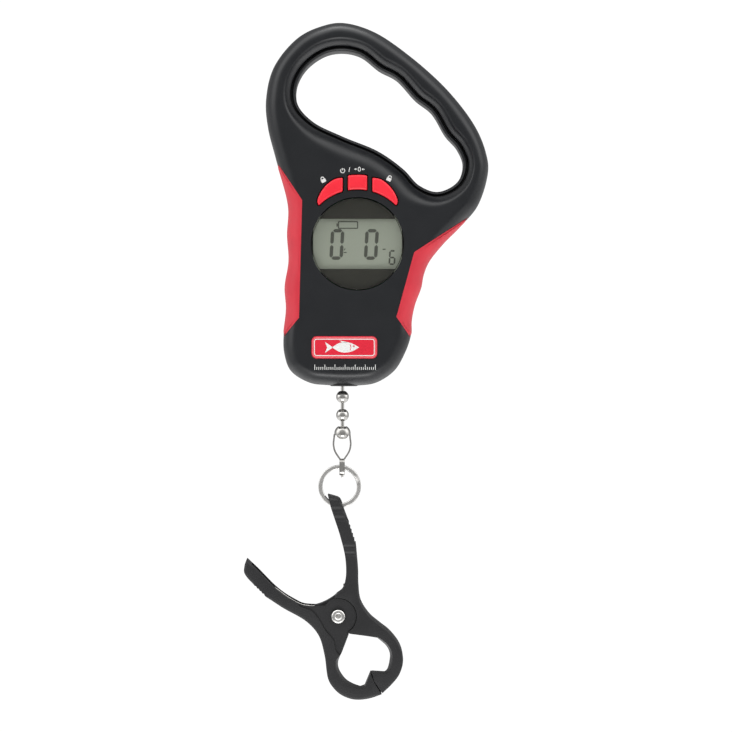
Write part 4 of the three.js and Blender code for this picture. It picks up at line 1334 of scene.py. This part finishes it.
def add_left_clamp():
    cheek = arc(PIVOT_X, PIVOT_Z, DISC, 122, -56, 70)
    outline = np.vstack([LEFT_ARM_INNER, cheek, LEFT_JAW, LEFT_OUTER])
    toothed = len(LEFT_OUTER) - LEFT_LOW_STEPS - LEFT_TIP_STEPS
    rounds = edge_rounds([(6, 1.6), (LEFT_ARM_STEPS - 6, 0.4), (len(cheek), 0.15), (len(LEFT_JAW) - 2, 0.15),
                          (2, 0.03), (2, 0.2), (LEFT_LOW_STEPS - 4, 1.2), (2, 0.5), (toothed, 0.3),
                          (LEFT_TIP_STEPS, 1.6)])
    draft = edge_rounds([(LEFT_ARM_STEPS + len(cheek) + 11, 0), (19, 1.2), (3, 0), (len(LEFT_OUTER), 0)])
    build = Builder()
    clamp_half(build, outline, rounds, draft)
    piece = make("clamp_left_half", build, "jaw", CLAMP, ["clamp_left"])
    step = np.vstack([spline(LEFT_STEP, CHANNEL_STEPS), LEFT_STEP_BACK])
    for near, far in ((-FAR, -HALF + 0.7), (HALF - 0.7, FAR)):
        cut(piece, prism(step, near, far))
    cut(piece, drum(DISC + 0.2, -CORE - 0.3, CORE + 0.3))
    channel = np.vstack([spline(LEFT_CHANNEL, CHANNEL_STEPS), LEFT_CHANNEL_BACK])
    cut(piece, prism(channel, -HALF + FLANGE, HALF - FLANGE))
    cut(piece, drum(RIVET_HOLE, -FAR, FAR, 48))
    # painted shade: the walls inside the jaw get the darker trim plastic
    paint_jaw_shade(piece)
    smooth_by_angle(piece, 35)


def add_pivot():
    low, high = span("pivot_rivet")
    long = high[1] - low[1]
    build = Builder()
    head = [(0, 1.15), (0.55, 1.15), (0.75, 1.0), (1.5, 0.2), (1.7, 0.03), (1.9, 0.0), (2.8, 0.05),
            (3.2, 0.25), (3.5, 0.7), (3.55, 1.05), (3.4, 1.15), (1.8, 1.15)]
    tail = [(1.8, long - 0.8), (2.5, long - 0.8), (2.5, long - 0.4), (1.8, long), (0, long)]
    lathe(build, head + tail, PIVOT_X, PIVOT_Z, 56, "y", low[1])
    make("rivet", build, "clamp", RING_STEEL, ["pivot_rivet"])
    low, high = span("rivet_washer")
    build = Builder()
    rim, bore = [circle(PIVOT_X, PIVOT_Z, radius, 48) for radius in (3.6, RIVET_HOLE)]
    slab(build, rim, low[1], high[1], 0.12, 0.2, [bore])
    make("washer", build, "clamp", DULL_NICKEL, ["rivet_washer"])


def add_torsion_spring():
    radius, low, high, turns = 4.2, -1.1, 2.5, 3.08
    angle = np.radians(np.linspace(-60, -360 * turns, 60))
    coil = np.column_stack([PIVOT_X + radius * np.cos(angle), np.linspace(low, high, 60),
                            PIVOT_Z + radius * np.sin(angle)])
    right_leg = [[0.7, low, -265.2], [1.8, low, -275.1]]
    left_leg = [[-9, high, -277.7], [-20.3, high, -276.1], [-27.5, high, -272.3], [-34.6, high, -267.6],
                [-36.3, high, -268.6]]
    path = spline(np.vstack([right_leg, coil, left_leg]), 320)
    build = Builder()
    sweep(build, path, circle(0, 0, 0.45, 12))
    piece = mesh_piece("clamp_spring", build, DULL_NICKEL, 32)
    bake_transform(piece)
    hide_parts("torsion_spring")


# ------------------------------------------------------------------ inner parts keep their CAD shape

INNER = [
    (TRIM_AND_JAW_SHADE, "switch_left switch_middle switch_right lcd_frame contact_strip scale_chip"),
    (LCD, "lcd_glass"),
    (BOARD, "circuit_board"),
    (CELL, "battery_left battery_right"),
    (BRASS, "contact_plate_top contact_plate_bottom battery_spring_left battery_spring_right"),
    (ALLOY, "load_cell"),
    (NICKEL, "load_cell_screw_1 load_cell_screw_2"),
]


def dress_inner_parts():
    for material, names in INNER:
        for name in names.split():
            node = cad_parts[name]
            if node.material_slots:
                for slot in node.material_slots:
                    slot.link = "OBJECT"
                    slot.material = material
            else:
                node.data.materials.append(material)


# ------------------------------------------------------------------ stage, light and camera

FLOOR_HALF = 1500
FLOOR_HEIGHT = -900
WORLD_STRENGTH = 2.0
BACKDROP = 1.05
HORIZON = 0.35
# brightness of the surroundings from straight behind the camera (-1) to straight behind the object (1)
LOWER_GLOW = ((-1, 0.24), (-0.9, 0.17), (-0.6, 0.15), (0, 0.3), (1, 0.35))
UPPER_GLOW = ((-1, 0.24), (-0.85, 0.27), (-0.6, 0.7), (-0.35, 1.25), (0, 1.15), (0.3, 0.3), (1, 0.1))


def add_floor():
    corners = np.array([[-1, -1], [1, -1], [1, 1], [-1, 1]]) * FLOOR_HALF
    corners = np.column_stack([corners, np.full(4, FLOOR_HEIGHT)]) * MM
    mesh = bpy.data.meshes.new("floor")
    mesh.from_pydata(corners.tolist(), [], [[0, 1, 2, 3]])
    paper = Nodes("floor_paper", (0.86, 0.86, 0.86), 0.8)
    paper.bump((paper.noise(900, 2), 0.05, 0.00002))
    mesh.materials.append(paper.material)
    place_object("floor", mesh)


def add_world():
    """Soft surroundings that the glossy parts mirror, with a plain bright backdrop for the camera."""
    world = bpy.data.worlds.new("studio")
    bpy.context.scene.world = world
    world.use_nodes = True
    tree = world.node_tree
    nodes, link = tree.nodes, tree.links.new
    place = nodes.new("ShaderNodeTexCoord")
    parts = nodes.new("ShaderNodeSeparateXYZ")
    link(place.outputs["Generated"], parts.inputs[0])
    lower = world_ramp(tree, parts.outputs["Y"], LOWER_GLOW)
    upper = world_ramp(tree, parts.outputs["Y"], UPPER_GLOW)
    height = nodes.new("ShaderNodeMapRange")
    height.inputs["From Min"].default_value = -HORIZON
    height.inputs["From Max"].default_value = HORIZON
    link(parts.outputs["Z"], height.inputs["Value"])
    mix = nodes.new("ShaderNodeMix")
    link(height.outputs["Result"], mix.inputs["Factor"])
    link(lower, mix.inputs["A"])
    link(upper, mix.inputs["B"])
    scale = nodes.new("ShaderNodeMath")
    scale.operation = "MULTIPLY"
    scale.inputs[1].default_value = WORLD_STRENGTH
    link(mix.outputs["Result"], scale.inputs[0])
    seen = nodes.new("ShaderNodeLightPath")
    choose = nodes.new("ShaderNodeMix")
    link(seen.outputs["Is Camera Ray"], choose.inputs["Factor"])
    link(scale.outputs["Value"], choose.inputs["A"])
    choose.inputs["B"].default_value = BACKDROP
    light = nodes["Background"]
    light.inputs["Color"].default_value = (1, 1, 1, 1)
    link(choose.outputs["Result"], light.inputs["Strength"])


def world_ramp(tree, value, stops):
    """Brightness along a value from -1 to 1, as a smooth curve through the stops."""
    curve = tree.nodes.new("ShaderNodeFloatCurve")
    curve.inputs["Factor"].default_value = 1
    shift = tree.nodes.new("ShaderNodeMapRange")
    shift.inputs["From Min"].default_value = -1
    tree.links.new(value, shift.inputs["Value"])
    tree.links.new(shift.outputs["Result"], curve.inputs["Value"])
    line = curve.mapping.curves[0]
    line.points[0].location = (0, stops[0][1])
    line.points[-1].location = (1, stops[-1][1])
    for at, bright in stops[1:-1]:
        line.points.new((at + 1) / 2, bright)
    curve.mapping.update()
    return curve.outputs["Value"]


def add_lamp(name, place, target, size, power):
    data = bpy.data.lights.new(name, "AREA")
    data.shape = "RECTANGLE"
    data.size, data.size_y = size
    data.energy = power
    lamp = place_object(name, data)
    lamp.location = place
    lamp.rotation_euler = (Vector(target) - Vector(place)).to_track_quat("-Z", "Y").to_euler()
    lamp.visible_camera = False


CAMERA_PLACE = (0.01175, -1.2, -0.1565)
CAMERA_FIELD = 0.366
SENSOR_WIDTH = 36


def add_camera():
    """Looks straight at the display; the field is the width seen at the object, in metres."""
    data = bpy.data.cameras.new("camera")
    data.sensor_width = SENSOR_WIDTH
    data.lens = SENSOR_WIDTH * -CAMERA_PLACE[1] / CAMERA_FIELD
    data.clip_start = 0.05
    camera = place_object("camera", data)
    camera.location = CAMERA_PLACE
    camera.rotation_euler = (math.radians(90), 0, 0)
    bpy.context.scene.camera = camera


add_camera()
add_floor()
add_world()
add_lamp("low_softbox", (0, -0.42, -0.86), (0, 0, -0.1), (0.5, 0.36), 3.4)
add_lamp("high_softbox", (0, 0.1, 0.85), (0, 0, -0.1), (0.6, 0.3), 2.4)
add_housing()
add_grips()
add_buttons()
add_window()
add_display()
add_printing()
add_badge()
add_bushing()
add_door()
add_screws()
add_beads()
add_pins()
add_coupling()
add_ring()
add_right_clamp()
add_left_clamp()
add_pivot()
add_torsion_spring()
dress_inner_parts()

bpy.context.scene.view_settings.view_transform = "Standard"
